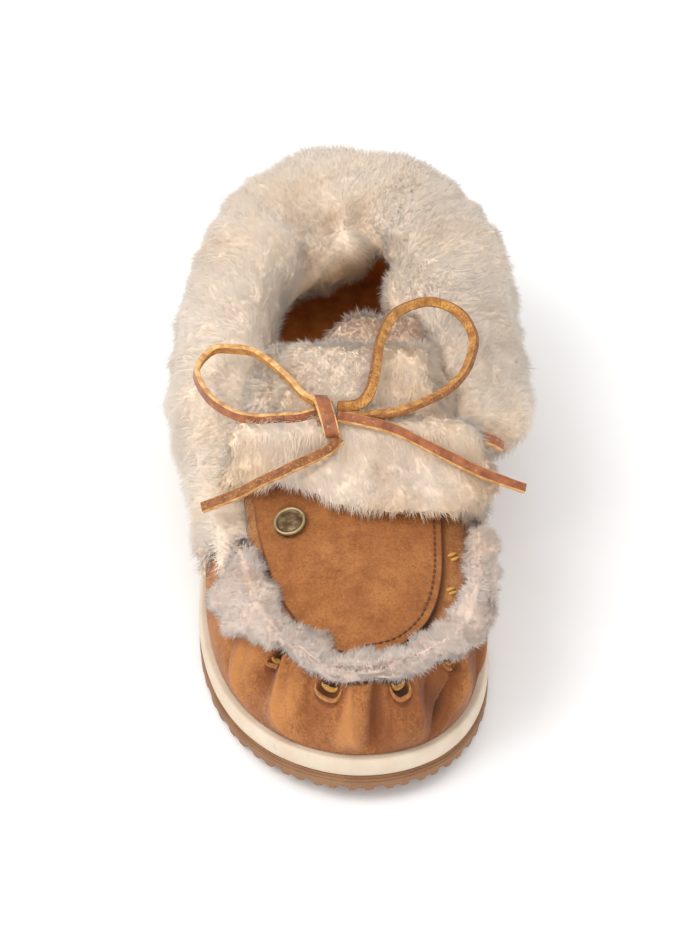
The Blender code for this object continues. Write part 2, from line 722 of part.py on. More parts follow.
def add_tongue(collection):
    """Shearling tongue, folded forward over the plug, with locks along its lip and back."""
    finish = material("tongue_wool", (0.80, 0.62, 0.42), 1.0)
    sections = []
    for i in range(FLAP_STATIONS):
        across = 2 * i / (FLAP_STATIONS - 1) - 1
        thin = 1 - FLAP_THINS * max(0.0, (abs(across) - FLAP_SIDES) / (1 - FLAP_SIDES)) ** 2
        section = []
        for j, row in enumerate(FLAP_ROWS):
            start, end = SWEEP_FADES
            fade = 1 - min(max((row.along - start) / (end - start), 0.0), 1.0)
            sweep = TONGUE_SWEEP * read(LIP_ROWS, "back", across) * fade
            y = y_at(row.along) + sweep
            x = TOE_AXIS_X + across * flap_half_width(row.along)
            z = flap_base(along_at(y)) - droop_at(x) + FLAP_HEIGHT * row.height * thin
            point = Vector((x, y, z))
            if row.leaf and 0 < i < FLAP_STATIONS - 1:
                way = Vector((0, -1, 0.2)) if j < 2 else Vector((0, -0.4, 1))
                point += way.normalized() * lock(i, j) * row.leaf
            section.append(point)
        sections.append(section)
    swept("tongue", sections, collection, finish)


def rise_at_height(turn, height):
    """How far up the wall a height is, as a share."""
    foot = wall_point(turn, 0).z
    top = wall_point(turn, 1).z
    return min(max((height - foot) / (top - foot), WOOL_LEG_ENDS[0]), WOOL_LEG_ENDS[1])


def cuff_section(place, index):
    """Section of the folded cuff, over the wall's top edge where it has an inner leg."""
    start = math.acos(1 - 2 * CUFF_START)
    end = TWO_PI - math.acos(1 - 2 * CUFF_END)
    turn = start + (end - start) * place
    out = outward(turn)
    up = Vector((0, 0, 1))
    top = wall_point(turn, 1)
    reach = CUFF_REACH * read(CUFF_ROWS, "reach", place)
    crest = CUFF_CREST * read(CUFF_ROWS, "crest", place)
    inner = CUFF_INNER * read(CUFF_ROWS, "inner", place)
    depth = CUFF_DEPTH * read(CUFF_ROWS, "depth", place)
    low = COLLAR_HEIGHT * read(CUFF_ROWS, "low", place)
    low_rise = rise_at_height(turn, low)
    middle_rise = (low_rise + 1) / 2
    faces = [wall_point(turn, rise) + out * CUFF_GAP for rise in (low_rise, middle_rise, WOOL_LEG_ENDS[1])]
    inside = -(UPPER_WALL + CUFF_GAP) if inner > UPPER_WALL + CUFF_GAP else CUFF_GAP / 2
    section = [*faces, top + out * CUFF_GAP + up * CUFF_GAP, top + out * inside + up * CUFF_GAP]
    hangs = top + out * inside - up * depth if depth > 0 else top + out * inside + up * CUFF_GAP
    hangs -= out * (depth * 0.02)
    section.append(hangs)
    body = (
        (-inner * 0.8 + inside * 0.2, -depth * 0.85 + CUFF_GAP + 0.0004),
        (-inner, min(-0.1 * depth, 0) + CUFF_GAP * 2 + 0.0008 + crest * 0.1),
        (-inner * 0.8 + crest * 0.05, crest * 0.55),
        (-inner * 0.4 + reach * 0.04, crest * 0.9),
        (reach * 0.14, crest),
        (reach * 0.5, crest * 0.86),
        (reach * 0.82, crest * 0.45),
    )
    for across, height in body:
        section.append(top + out * across + up * height)
    bottom = wall_point(turn, low_rise)
    for share, across in ((0.30, 1.0), (0.65, 0.98), (0.93, 0.78)):
        point = top + out * (reach * across)
        point.z = top.z + (low - top.z) * share
        section.append(point)
    section.append(bottom + out * (reach * 0.36) - up * 0.002)
    for j in range(len(faces) + 4, len(section)):
        before = section[j - 1]
        after = section[(j + 1) % len(section)]
        along_section = after - before
        along_path = Vector((-out.y, out.x, 0))
        way = along_section.cross(along_path).normalized()
        if way.dot(section[j] - (top - up * 0.01)) < 0:
            way = -way
        section[j] = section[j] + way * lock(index, j) * min(1.0, 2 * crest / CUFF_CREST, reach / CUFF_REACH)
    return section


def add_cuff(collection):
    """Shearling collar folded down outside the upper, longer and lower at its lateral front end."""
    finish = material("cuff_wool", (0.82, 0.66, 0.48), 1.0)
    sections = [cuff_section(index / (CUFF_STATIONS - 1), index) for index in range(CUFF_STATIONS)]
    swept("cuff", sections, collection, finish)


def add_badge(collection):
    """Plain round stud with a raised rim, turned about its own axis and set square to the panel."""
    finish = material("antique_brass", (0.22, 0.16, 0.08), 0.5, 0.9)
    mesh = bpy.data.meshes.new("badge")
    points = [(BADGE_RADIUS * out, 0, BADGE_HEIGHT * up) for out, up in BADGE_PROFILE]
    mesh.from_pydata(points, [(k, k + 1) for k in range(len(points) - 1)], [])
    mesh.materials.append(finish)
    badge = bpy.data.objects.new("badge", mesh)
    collection.objects.link(badge)
    turned = badge.modifiers.new("turned", "SCREW")
    turned.steps = BADGE_STEPS
    turned.render_steps = BADGE_STEPS
    turned.use_merge_vertices = True
    turned.merge_threshold = 1e-5
    turned.use_normal_calculate = True
    step = 0.004
    here = Vector((BADGE_X, y_at(BADGE_ALONG), 0))
    slope_x = plug_height(BADGE_X + step, BADGE_ALONG) - plug_height(BADGE_X - step, BADGE_ALONG)
    further = step / SOLE_LENGTH
    slope_y = plug_height(BADGE_X, BADGE_ALONG + further) - plug_height(BADGE_X, BADGE_ALONG - further)
    square = Vector((-slope_x / (2 * step), -slope_y / (2 * step), 1)).normalized()
    here.z = plug_height(BADGE_X, BADGE_ALONG) + PANEL_GAP + PANEL_THICKNESS
    badge.location = here + square * (2 * GAP)
    badge.rotation_mode = "QUATERNION"
    badge.rotation_quaternion = Vector((0, 0, 1)).rotation_difference(square)


def smooth_route(points, count):
    """Evenly many points on a smooth curve through the route's own points, in the slipper's frame."""
    route = [Vector((x, y_at(from_toe / SOLE_LENGTH), z)) for x, from_toe, z in points]
    padded = [route[0] * 2 - route[1], *route, route[-1] * 2 - route[-2]]
    made = []
    for index in range(count):
        at = (len(route) - 1) * index / (count - 1)
        k = min(int(at), len(route) - 2)
        t = at - k
        a, b, c, d = padded[k : k + 4]
        bend = (a * 2 - b * 5 + c * 4 - d) * t**2 + (b * 3 - a - c * 3 + d) * t**3
        made.append((b * 2 + (c - a) * t + bend) / 2)
    return made


def add_lace(collection):
    """Leather thong: a knot band, two loops and two tails that lie on the wool."""
    finish = material("thong_leather", (0.35, 0.12, 0.05), 0.55)
    bar = []
    for row in BAR_ROWS:
        base = flap_base(row.from_toe / SOLE_LENGTH) - droop_at(row.x)
        bar.append((row.x, row.from_toe, base + FLAP_HEIGHT * row.height))
    pieces = (
        ("lace_loop_left", LACE_LOOP_LEFT, 25),
        ("lace_loop_right", LACE_LOOP_RIGHT, 29),
        ("lace_tail_left", LACE_TAIL_LEFT, 12),
        ("lace_tail_right", LACE_TAIL_RIGHT, 14),
        ("lace_bar", bar, 16),
    )
    for name, points, count in pieces:
        curve = bpy.data.curves.new(name, "CURVE")
        curve.dimensions = "3D"
        curve.bevel_depth = LACE_DIAMETER / 2
        curve.bevel_resolution = 2
        curve.use_fill_caps = True
        curve.materials.append(finish)
        spline = curve.splines.new("POLY")
        spline.points.add(count - 1)
        for place, point in zip(spline.points, smooth_route(points, count)):
            place.co = (*point, 1)
        collection.objects.link(bpy.data.objects.new(name, curve))
    sections = []
    for row in KNOT_ROWS:
        section = []
        for k in range(KNOT_SIDES):
            angle = TWO_PI * (k + 0.5) / KNOT_SIDES
            x = KNOT_X + KNOT_WIDTH / 2 * row.share * math.cos(angle)
            z = row.height + KNOT_HEIGHT / 2 * row.share * math.sin(angle)
            section.append(Vector((x, y_at(row.from_toe / SOLE_LENGTH), z)))
        sections.append(section)
    swept("lace_knot", sections, collection, finish)


def main():
    for old in list(bpy.data.objects):
        bpy.data.objects.remove(old)
    slipper = bpy.data.collections.new("sheepskin_slipper")
    cutters = bpy.data.collections.new("cutters")
    bpy.context.scene.collection.children.link(slipper)
    bpy.context.scene.collection.children.link(cutters)
    add_outsole(slipper, cutters)
    add_midsole(slipper)
    add_insole(slipper)
    add_upper(slipper)
    add_plug(slipper)
    add_panel(slipper)
    add_seam_wool(slipper)
    add_tongue(slipper)
    add_cuff(slipper)
    add_badge(slipper)
    add_lace(slipper)


main()
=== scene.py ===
"""Looks of the sheepskin slipper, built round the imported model.

Lengths are metres. +Z is up, the toe points along -Y, and the lateral side is at -X.
"""

import math
from collections import namedtuple

import bmesh
import bpy
import numpy as np
from mathutils import Matrix, Vector, bvhtree, kdtree


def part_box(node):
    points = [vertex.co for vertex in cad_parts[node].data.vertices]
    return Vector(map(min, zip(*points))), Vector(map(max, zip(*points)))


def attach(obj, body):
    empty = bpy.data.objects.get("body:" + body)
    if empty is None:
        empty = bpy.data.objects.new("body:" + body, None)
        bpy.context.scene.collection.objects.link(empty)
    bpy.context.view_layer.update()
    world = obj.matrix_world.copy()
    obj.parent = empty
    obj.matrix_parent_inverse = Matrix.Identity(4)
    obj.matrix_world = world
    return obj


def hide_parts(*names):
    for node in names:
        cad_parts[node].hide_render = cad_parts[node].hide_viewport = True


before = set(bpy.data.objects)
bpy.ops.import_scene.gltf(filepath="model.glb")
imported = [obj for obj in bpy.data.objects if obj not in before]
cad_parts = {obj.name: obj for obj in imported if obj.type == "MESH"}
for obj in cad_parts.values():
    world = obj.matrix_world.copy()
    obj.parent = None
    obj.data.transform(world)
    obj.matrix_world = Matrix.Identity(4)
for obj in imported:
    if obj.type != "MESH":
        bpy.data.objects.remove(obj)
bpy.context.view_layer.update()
chance = np.random.default_rng(7)

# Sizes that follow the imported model
SOLE_LOW, SOLE_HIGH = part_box("outsole")
SOLE_LENGTH = SOLE_HIGH[1] - SOLE_LOW[1]
TOE_Y = SOLE_LOW[1]
BALL_WIDTH = 0.098
COLLAR_HEIGHT = 0.063
TWO_PI = 2 * math.pi

# Sole
TOE_AXIS_X = 0.003
HEEL_AXIS_X = -0.002
OUTSOLE_THICKNESS = 0.0062
OUTSOLE_STEP = 0.0008
OUTSOLE_STEPS = 78
MIDSOLE_THICKNESS = 0.0074
MIDSOLE_ROUNDING = 0.0016
SOLE_FACE_INSET = 0.006
INSOLE_THICKNESS = 0.004
INSOLE_GAP = 0.0004
FOOTBED_INSET = 0.0066
TOE_SPRING = 0.0048
ARCH_RISE = 0.0022
LUG_DEPTH = 0.0022
LUG_GROOVE = 0.003
LUG_PITCH = 0.0150
LUG_BEVEL = 0.0014
SCALLOP_RISE = 0.0028
SCALLOP_REACH = 0.007
FOREFOOT_LUGS = (0.17, 0.50)
HEEL_LUGS = (0.74, 0.95)
CENTRE_GROOVE = 0.004
CENTRE_GROOVE_DEPTH = 0.0018
SPINE = (0.13, 0.87)
GAP = 0.0003

# Upper
UPPER_WALL = 0.0018
WALL_HEIGHT = 0.0265
UPPER_INSET = 0.003
TOE_BULGE = 0.002
LEAN_CURVE = 1.7
FOLD_CURVE = 1.2
PLUG_THICKNESS = 0.0018
PLUG_CROWN = 0.0075
THROAT_ALONG = 0.405
PLUG_BLUNT = 0.023
PANEL_THICKNESS = 0.0013
PANEL_GAP = 0.0005
PANEL_MARGIN_LATERAL = 0.003
PANEL_MARGIN_MEDIAL = 0.0085
PANEL_MARGIN_TOE = 0.0085

# Badge
BADGE_RADIUS = 0.0055
BADGE_HEIGHT = 0.0018
BADGE_ALONG = 0.276
BADGE_X = -0.0192

# Camera
PHOTO_HEIGHT = 933
CAMERA_ELEVATION = math.radians(41)
CAMERA_DISTANCE = 1.0
CAMERA_TARGET = Vector((0, -0.0167, 0.04))
FOCAL_PIXELS = 2940
SENSOR = 36.0

# Lace, a flat leather thong
LACE_WIDTH = 0.0035
LACE_THICKNESS = 0.0019
KNOT_X = -0.0078

SoleRow = namedtuple("SoleRow", "along lateral medial")
SOLE_ROWS = (
    SoleRow(0.00, 0.533, 0.449),
    SoleRow(0.33, 0.533, 0.449),
    SoleRow(0.46, 0.508, 0.420),
    SoleRow(0.62, 0.455, 0.375),
    SoleRow(0.80, 0.385, 0.370),
    SoleRow(1.00, 0.370, 0.365),
)
EndRow = namedtuple("EndRow", "reach power")
TOE_LATERAL = EndRow(0.292, 2.0)
TOE_MEDIAL = EndRow(0.234, 2.2)
HEEL_END = EndRow(0.145, 2.1)
RiseRow = namedtuple("RiseRow", "along spring arch")
RISE_ROWS = (
    RiseRow(0.00, 1.00, 0.0),
    RiseRow(0.05, 0.60, 0.0),
    RiseRow(0.11, 0.20, 0.0),
    RiseRow(0.17, 0.00, 0.0),
    RiseRow(0.50, 0.00, 0.0),
    RiseRow(0.58, 0.00, 1.0),
    RiseRow(0.66, 0.00, 1.0),
    RiseRow(0.74, 0.00, 0.0),
    RiseRow(0.95, 0.00, 0.0),
    RiseRow(1.00, 0.35, 0.0),
)
TopRow = namedtuple("TopRow", "along lateral medial height crown")
TOP_ROWS = (
    TopRow(0.00, 0.090, 0.090, 0.65, 0.00),
    TopRow(0.06, 0.104, 0.062, 0.66, 0.05),
    TopRow(0.12, 0.115, 0.036, 0.68, 0.35),
    TopRow(0.23, 0.126, 0.022, 0.75, 0.80),
    TopRow(0.34, 0.107, 0.018, 0.83, 1.00),
    TopRow(0.45, 0.076, 0.016, 0.90, 1.00),
    TopRow(0.55, 0.052, 0.016, 0.94, 1.00),
    TopRow(0.75, 0.026, 0.016, 0.97, 1.00),
    TopRow(1.00, 0.042, 0.042, 1.00, 1.00),
)
Fold = namedtuple("Fold", "arc height width")
FOLDS = (
    Fold(-0.074, 0.0010, 0.0075),
    Fold(-0.052, 0.0024, 0.0080),
    Fold(-0.041, -0.0018, 0.0060),
    Fold(-0.030, 0.0024, 0.0070),
    Fold(-0.016, -0.0018, 0.0065),
    Fold(-0.004, 0.0024, 0.0065),
    Fold(0.006, -0.0026, 0.0050),
    Fold(0.017, 0.0018, 0.0065),
    Fold(0.031, -0.0034, 0.0065),
    Fold(0.044, 0.0020, 0.0065),
    Fold(0.057, -0.0020, 0.0060),
    Fold(0.072, 0.0010, 0.0070),
)

# Creases of the toe wall: a line from its high end to its low end, each end given by its distance round the
# toe and its share of the wall's height, with its height over the wall and its half width. Troughs are below
# zero.
Crease = namedtuple("Crease", "high_arc high_rise low_arc low_rise height width")
CREASES = (
    Crease(-0.0680, 0.95, -0.0600, 0.30, -0.0009, 0.0016),
    Crease(-0.0607, 0.95, -0.0489, 0.20, 0.0012, 0.0014),
    Crease(-0.0575, 0.95, -0.0462, 0.25, -0.0007, 0.0016),
    Crease(-0.0418, 1.00, -0.0400, 0.55, -0.0016, 0.0022),
    Crease(-0.0385, 1.00, -0.0257, 0.12, 0.0014, 0.0013),
    Crease(-0.0355, 1.00, -0.0232, 0.25, -0.0007, 0.0016),
    Crease(-0.0232, 1.00, -0.0200, 0.50, -0.0010, 0.0016),
    Crease(-0.0070, 1.00, -0.0080, 0.45, -0.0011, 0.0013),
    Crease(-0.0043, 1.00, -0.0010, 0.22, 0.0014, 0.0013),
    Crease(0.0067, 1.00, 0.0038, 0.20, -0.0018, 0.0016),
    Crease(0.0105, 1.00, 0.0085, 0.30, 0.0008, 0.0014),
    Crease(0.0175, 1.00, 0.0180, 0.60, -0.0010, 0.0022),
    Crease(0.0250, 1.00, 0.0215, 0.25, 0.0009, 0.0016),
    Crease(0.0330, 0.95, 0.0265, 0.55, -0.0008, 0.0014),
    Crease(0.0461, 1.00, 0.0285, 0.20, -0.0028, 0.0017),
    Crease(0.0495, 0.95, 0.0335, 0.15, 0.0015, 0.0018),
    Crease(0.0640, 0.85, 0.0610, 0.02, -0.0016, 0.0018),
    Crease(0.0675, 0.95, 0.0650, 0.10, 0.0010, 0.0020),
    Crease(0.0790, 0.95, 0.0760, 0.20, -0.0008, 0.0020),
)

# Places where the seam's rawhide gathers the toe wall: distance round the toe, share of the wall's height,
# half width, how far its lip hangs, and how deep the pocket above it is
SeamLoop = namedtuple("SeamLoop", "arc rise half drop depth")
WALL_LOOPS = (
    SeamLoop(-0.0620, 0.92, 0.0030, 0.0026, 0.0012),
    SeamLoop(-0.0418, 0.84, 0.0026, 0.0028, 0.0016),
    SeamLoop(-0.0138, 0.93, 0.0058, 0.0042, 0.0026),
    SeamLoop(0.0172, 0.96, 0.0044, 0.0044, 0.0022),
    SeamLoop(0.0420, 0.94, 0.0032, 0.0030, 0.0012),
    SeamLoop(0.0640, 0.92, 0.0032, 0.0028, 0.0012),
)

# Distances round the toe of the gold stitches on the plug's medial margin
GOLD_STITCHES = (0.053, 0.070, 0.085, 0.103)

# The lace's route: X, distance from the toe, and Z
LACE_LOOP_LEFT = (
    (-0.0115, 0.0975, 0.0805), (-0.0165, 0.0960, 0.0800), (-0.0205, 0.0960, 0.0795),
    (-0.0260, 0.0960, 0.0790), (-0.0305, 0.0965, 0.0785), (-0.0380, 0.0995, 0.0780),
    (-0.0460, 0.1085, 0.0770), (-0.0510, 0.1210, 0.0765), (-0.0500, 0.1280, 0.0770),
    (-0.0455, 0.1340, 0.0775), (-0.0390, 0.1330, 0.0785), (-0.0325, 0.1290, 0.0805),
    (-0.0260, 0.1190, 0.0835), (-0.0195, 0.1080, 0.0853), (-0.0155, 0.1015, 0.0848),
    (-0.0115, 0.0993, 0.0838),
)
LACE_LOOP_RIGHT = (
    (-0.0040, 0.0995, 0.0815), (0.0000, 0.0993, 0.0818), (0.0035, 0.1000, 0.0825),
    (0.0062, 0.1025, 0.0845), (0.0078, 0.1070, 0.0870), (0.0088, 0.1140, 0.0888),
    (0.0100, 0.1230, 0.0900), (0.0130, 0.1355, 0.0885), (0.0180, 0.1455, 0.0860),
    (0.0260, 0.1525, 0.0835), (0.0330, 0.1535, 0.0810), (0.0385, 0.1485, 0.0800),
    (0.0415, 0.1390, 0.0795), (0.0410, 0.1305, 0.0795), (0.0380, 0.1190, 0.0800),
    (0.0320, 0.1085, 0.0810), (0.0240, 0.1010, 0.0820), (0.0165, 0.0965, 0.0820),
    (0.0100, 0.0955, 0.0815), (0.0035, 0.0960, 0.0805), (-0.0040, 0.0960, 0.0800),
)
LACE_TAIL_LEFT = (
    (-0.0030, 0.0870, 0.0780), (-0.0075, 0.0835, 0.0760), (-0.0125, 0.0815, 0.0745),
    (-0.0180, 0.0795, 0.0730), (-0.0230, 0.0780, 0.0710), (-0.0280, 0.0770, 0.0690),
    (-0.0355, 0.0750, 0.0655), (-0.0430, 0.0750, 0.0615), (-0.0480, 0.0750, 0.0590),
)
LACE_TAIL_RIGHT = (
    (-0.0040, 0.0925, 0.0830), (0.0025, 0.0918, 0.0820), (0.0110, 0.0903, 0.0808),
    (0.0165, 0.0883, 0.0798), (0.0215, 0.0865, 0.0780), (0.0315, 0.0825, 0.0747),
    (0.0415, 0.0815, 0.0690), (0.0515, 0.0810, 0.0645), (0.0570, 0.0810, 0.0620),
)
LACE_BAR = (
    (-0.0385, 0.0960, 0.0700), (-0.0345, 0.0957, 0.0739), (-0.0300, 0.0955, 0.0752),
    (-0.0200, 0.0955, 0.0758), (-0.0080, 0.0955, 0.0761), (0.0050, 0.0955, 0.0760),
    (0.0180, 0.0955, 0.0757), (0.0280, 0.0955, 0.0751), (0.0350, 0.0955, 0.0742),
    (0.0410, 0.0957, 0.0723), (0.0465, 0.0965, 0.0694), (0.0500, 0.0980, 0.0656),
)


def camera_back():
    return Vector((0, -math.cos(CAMERA_ELEVATION), math.sin(CAMERA_ELEVATION)))


def add_camera():
    camera = bpy.data.cameras.new("camera")
    camera.sensor_width = SENSOR
    camera.lens = FOCAL_PIXELS / PHOTO_HEIGHT * SENSOR
    placed = bpy.data.objects.new("camera", camera)
    placed.location = CAMERA_TARGET + camera_back() * CAMERA_DISTANCE
    placed.rotation_euler = (-camera_back()).to_track_quat("-Z", "Y").to_euler()
    bpy.context.collection.objects.link(placed)
    bpy.context.scene.camera = placed


def add_light(name, place, target, size, power, color=(1, 1, 1)):
    light = bpy.data.lights.new(name, "AREA")
    light.shape = "DISK"
    light.size = size
    light.energy = power
    light.color = color
    placed = bpy.data.objects.new(name, light)
    placed.location = place
    placed.rotation_euler = (Vector(target) - Vector(place)).to_track_quat("-Z", "Y").to_euler()
    bpy.context.collection.objects.link(placed)


def add_studio():
    """White room, a big soft key from the upper left and a pale floor."""
    world = bpy.data.worlds.new("studio")
    world.use_nodes = True
    world.node_tree.nodes["Background"].inputs["Color"].default_value = (1, 1, 1, 1)
    world.node_tree.nodes["Background"].inputs["Strength"].default_value = 1.0
    bpy.context.scene.world = world
    add_light("key", (-0.75, -0.35, 1.15), (0, 0, 0.03), 0.9, 7.8, (1.0, 0.985, 0.965))
    add_light("front", (0.15, -1.3, 0.55), (0, -0.05, 0.04), 0.9, 3.2, (1.0, 0.98, 0.95))
    bpy.context.scene.view_settings.view_transform = "Standard"
    bpy.ops.mesh.primitive_plane_add(size=6)
    floor = bpy.context.object
    floor.name = "floor"
    floor.data.materials.append(material("floor_white", (0.96, 0.96, 0.963), 0.9))


# Materials

def material(name, color, roughness, **values):
    made = bpy.data.materials.new(name)
    made.use_nodes = True
    shader = made.node_tree.nodes["Principled BSDF"]
    shader.inputs["Base Color"].default_value = (*color, 1)
    shader.inputs["Roughness"].default_value = roughness
    for socket, value in values.items():
        shader.inputs[socket.replace("_", " ")].default_value = value
    return made


def noise(made, size, detail=3.0, stretch=(1, 1, 1), roughness=0.5):
    """Cloudy pattern whose patches are about one size across, in the slipper's own metres."""
    nodes, links = made.node_tree.nodes, made.node_tree.links
    place = nodes.new("ShaderNodeTexCoord")
    mapping = nodes.new("ShaderNodeMapping")
    mapping.inputs["Scale"].default_value = stretch
    pattern = nodes.new("ShaderNodeTexNoise")
    pattern.inputs["Scale"].default_value = 1 / size
    pattern.inputs["Detail"].default_value = detail
    pattern.inputs["Roughness"].default_value = roughness
    links.new(place.outputs["Object"], mapping.inputs["Vector"])
    links.new(mapping.outputs["Vector"], pattern.inputs["Vector"])
    return pattern.outputs["Fac"]


def attribute(made, name):
    node = made.node_tree.nodes.new("ShaderNodeAttribute")
    node.attribute_name = name
    return node.outputs["Fac"]


def ranged(made, factor, low, high, start=0.0, end=1.0):
    """The factor between low and high, stretched to run from start to end."""
    node = made.node_tree.nodes.new("ShaderNodeMapRange")
    for socket, value in (("From Min", low), ("From Max", high), ("To Min", start), ("To Max", end)):
        node.inputs[socket].default_value = value
    made.node_tree.links.new(factor, node.inputs["Value"])
    return node.outputs["Result"]


def mixed(made, factor, first, second, blend="MIX"):
    """Colour mix. First and second are colours or sockets, and the factor is a number or a socket."""
    node = made.node_tree.nodes.new("ShaderNodeMix")
    node.data_type = "RGBA"
    node.blend_type = blend
    for socket, value in ((node.inputs["Factor"], factor), (node.inputs[6], first), (node.inputs[7], second)):
        if isinstance(value, bpy.types.NodeSocket):
            made.node_tree.links.new(value, socket)
        elif isinstance(value, tuple):
            socket.default_value = (*value, 1)
        else:
            socket.default_value = value
    return node.outputs[2]


def paint(made, color):
    made.node_tree.links.new(color, made.node_tree.nodes["Principled BSDF"].inputs["Base Color"])


def emboss(made, heights, distance):
    """Relief from one or more factors, each with its share of the distance."""
    nodes, links = made.node_tree.nodes, made.node_tree.links
    normal = None
    for factor, share in heights:
        bump = nodes.new("ShaderNodeBump")
        bump.inputs["Strength"].default_value = 1.0
        bump.inputs["Distance"].default_value = distance * share
        links.new(factor, bump.inputs["Height"])
        if normal:
            links.new(normal, bump.inputs["Normal"])
        normal = bump.outputs["Normal"]
    links.new(normal, nodes["Principled BSDF"].inputs["Normal"])


# Patches and specks of a finish: their size, detail, the pattern's range and how much of the tone they take
Blotch = namedtuple("Blotch", "size detail low high most", defaults=(1.0,))


def blotches(made, blotch, stretch=(1, 1, 1), roughness=0.5):
    pattern = noise(made, blotch.size, blotch.detail, stretch, roughness)
    return ranged(made, pattern, blotch.low, blotch.high, 0, blotch.most)


def mottled(name, base, roughness, patches, tones, specks=None, speck_tone=None, grain=(), relief=0.0,
            **values):
    """Finish that drifts between two tones, with specks of a third and a fine relief of given grain sizes."""
    made = material(name, base, roughness, **values)
    color = mixed(made, blotches(made, patches), *tones)
    if specks:
        color = mixed(made, blotches(made, specks), color, speck_tone)
    paint(made, color)
    if grain:
        emboss(made, [(noise(made, size, detail), 1 / len(grain)) for size, detail in grain], relief)
    return made


def suede(name, main, light, dark):
    """Nap with worn and brushed patches, scratches, fine grain, and folds tinted by their depth: painted
    light on ridges, painted shade in troughs.
    """
    made = material(name, main, 0.9, Sheen_Weight=0.08, Sheen_Roughness=0.5)
    color = main
    for tone, blotch, stretch, roughness in (
        (light, Blotch(0.012, 5, 0.40, 0.64), (1, 1, 1), 0.5),
        (dark, Blotch(0.006, 5, 0.45, 0.66, 0.7), (1, 1, 0.5), 0.65),
        (light, Blotch(0.0014, 4, 0.55, 0.66, 0.6), (1.7, 0.6, 1), 0.7),
        (light, Blotch(0.0014, 4, 0.55, 0.66, 0.6), (0.6, 1.7, 0.8), 0.7),
        (light, Blotch(0.0019, 4, 0.50, 0.62, 0.45), (1, 1, 1), 0.75),
        (dark, Blotch(0.0009, 3, 0.50, 0.68, 0.75), (1, 1, 1), 0.7),
        (dark, Blotch(0.0005, 2, 0.3, 0.7, 0.4), (1, 1, 1), 0.5),
    ):
        color = mixed(made, blotches(made, blotch, stretch, roughness), color, tone)
    # Painted light and shade from the fold attribute: lighter on ridges, darker in troughs, near black where
    # the painted shade is deepest
    fold = attribute(made, "fold")
    color = mixed(made, ranged(made, fold, 0.0, 0.0022, 0, 0.7), color, light)
    color = mixed(made, ranged(made, fold, 0.0, -0.0030, 0, 0.85), color, dark)
    painted_deep_shadow = tuple(channel * 0.25 for channel in dark)
    color = mixed(made, ranged(made, fold, -0.0040, -0.0080, 0, 0.95), color, painted_deep_shadow)
    paint(made, color)
    emboss(made, ((noise(made, 0.0005, 3), 0.35), (noise(made, 0.003, 3), 0.65)), 0.0007)
    return made


def wool(name, main, warm, cool, deep, warm_low=0.5, warm_high=0.72, root_tone=(0.94, 0.82, 0.68)):
    """Pile with warm and cool patches, darker at the roots, and each fibre a little lighter or darker."""
    made = material(name, main, 0.9, Sheen_Weight=0.35, Sheen_Roughness=0.5)
    color = mixed(made, ranged(made, noise(made, 0.030, 2), warm_low, warm_high), main, warm)
    color = mixed(made, ranged(made, noise(made, 0.021, 2, (1, 1.3, 1)), 0.52, 0.72, 0, 0.8), color, cool)
    roots = tuple(channel * share for channel, share in zip(main, root_tone))
    color = mixed(made, ranged(made, attribute(made, "tip"), 0.0, 0.6, 0.5, 0), color, roots)
    color = mixed(made, ranged(made, attribute(made, "shade"), 0.0, 1.0, 0.3, 0.0), color, roots)
    # Brown tint where the deep attribute says: painted shade in the opening, behind the flap and down the
    # lining, and on the cuff browning with age as well
    brown_tone = mixed(made, ranged(made, noise(made, 0.009, 3), 0.35, 0.65), *deep)
    color = mixed(made, attribute(made, "deep"), color, brown_tone)
    paint(made, color)
    return made


# Shared forms

def read(rows, column, at):
    """Values on a smooth curve through the rows that never swings past them."""
    places = np.array([row[0] for row in rows], float)
    values = np.array([getattr(row, column) for row in rows], float)
    slopes = np.diff(values) / np.diff(places)
    before, after = slopes[:-1], slopes[1:]
    same = before * after > 0
    tangents = np.zeros(len(rows))
    tangents[1:-1] = np.where(same, 2 * before * after / np.where(same, before + after, 1), 0)
    at = np.clip(at, places[0], places[-1])
    k = np.clip(np.searchsorted(places, at, side="right") - 1, 0, len(slopes) - 1)
    span = places[k + 1] - places[k]
    t = (at - places[k]) / span
    start = values[k] * (1 + 2 * t) * (1 - t) ** 2 + tangents[k] * span * t * (1 - t) ** 2
    return start + values[k + 1] * t * t * (3 - 2 * t) + tangents[k + 1] * span * t * t * (t - 1)


def smoothed(values, low, high):
    """0 below low and 1 above high, with a soft change between."""
    share = np.clip((values - low) / (high - low), 0, 1)
    return share * share * (3 - 2 * share)


def unit(vectors):
    return vectors / np.maximum(np.linalg.norm(vectors, axis=-1, keepdims=True), 1e-12)


def waves(points, size, seed, count=7):
    """Smooth random field from about -1 to 1 that changes over one size."""
    own = np.random.default_rng(seed)
    ways = unit(own.normal(size=(count, 3))) * own.uniform(0.6, 1.5, (count, 1)) * (TWO_PI / size / 2)
    phases = own.uniform(0, TWO_PI, count)
    return np.sin(points @ ways.T + phases).sum(-1) / math.sqrt(count / 2) / 1.6


def y_at(along):
    return TOE_Y + along * SOLE_LENGTH


def along_at(y):
    return np.clip((y - TOE_Y) / SOLE_LENGTH, 0, 1)


def axis_x(along):
    return TOE_AXIS_X + (HEEL_AXIS_X - TOE_AXIS_X) * along


def along_of(turn):
    return (1 - np.cos(turn)) / 2


def rounded(distance, end):
    inside = np.clip(1 - distance / end.reach, 0, None)
    return (1 - inside**end.power) ** (1 / end.power)


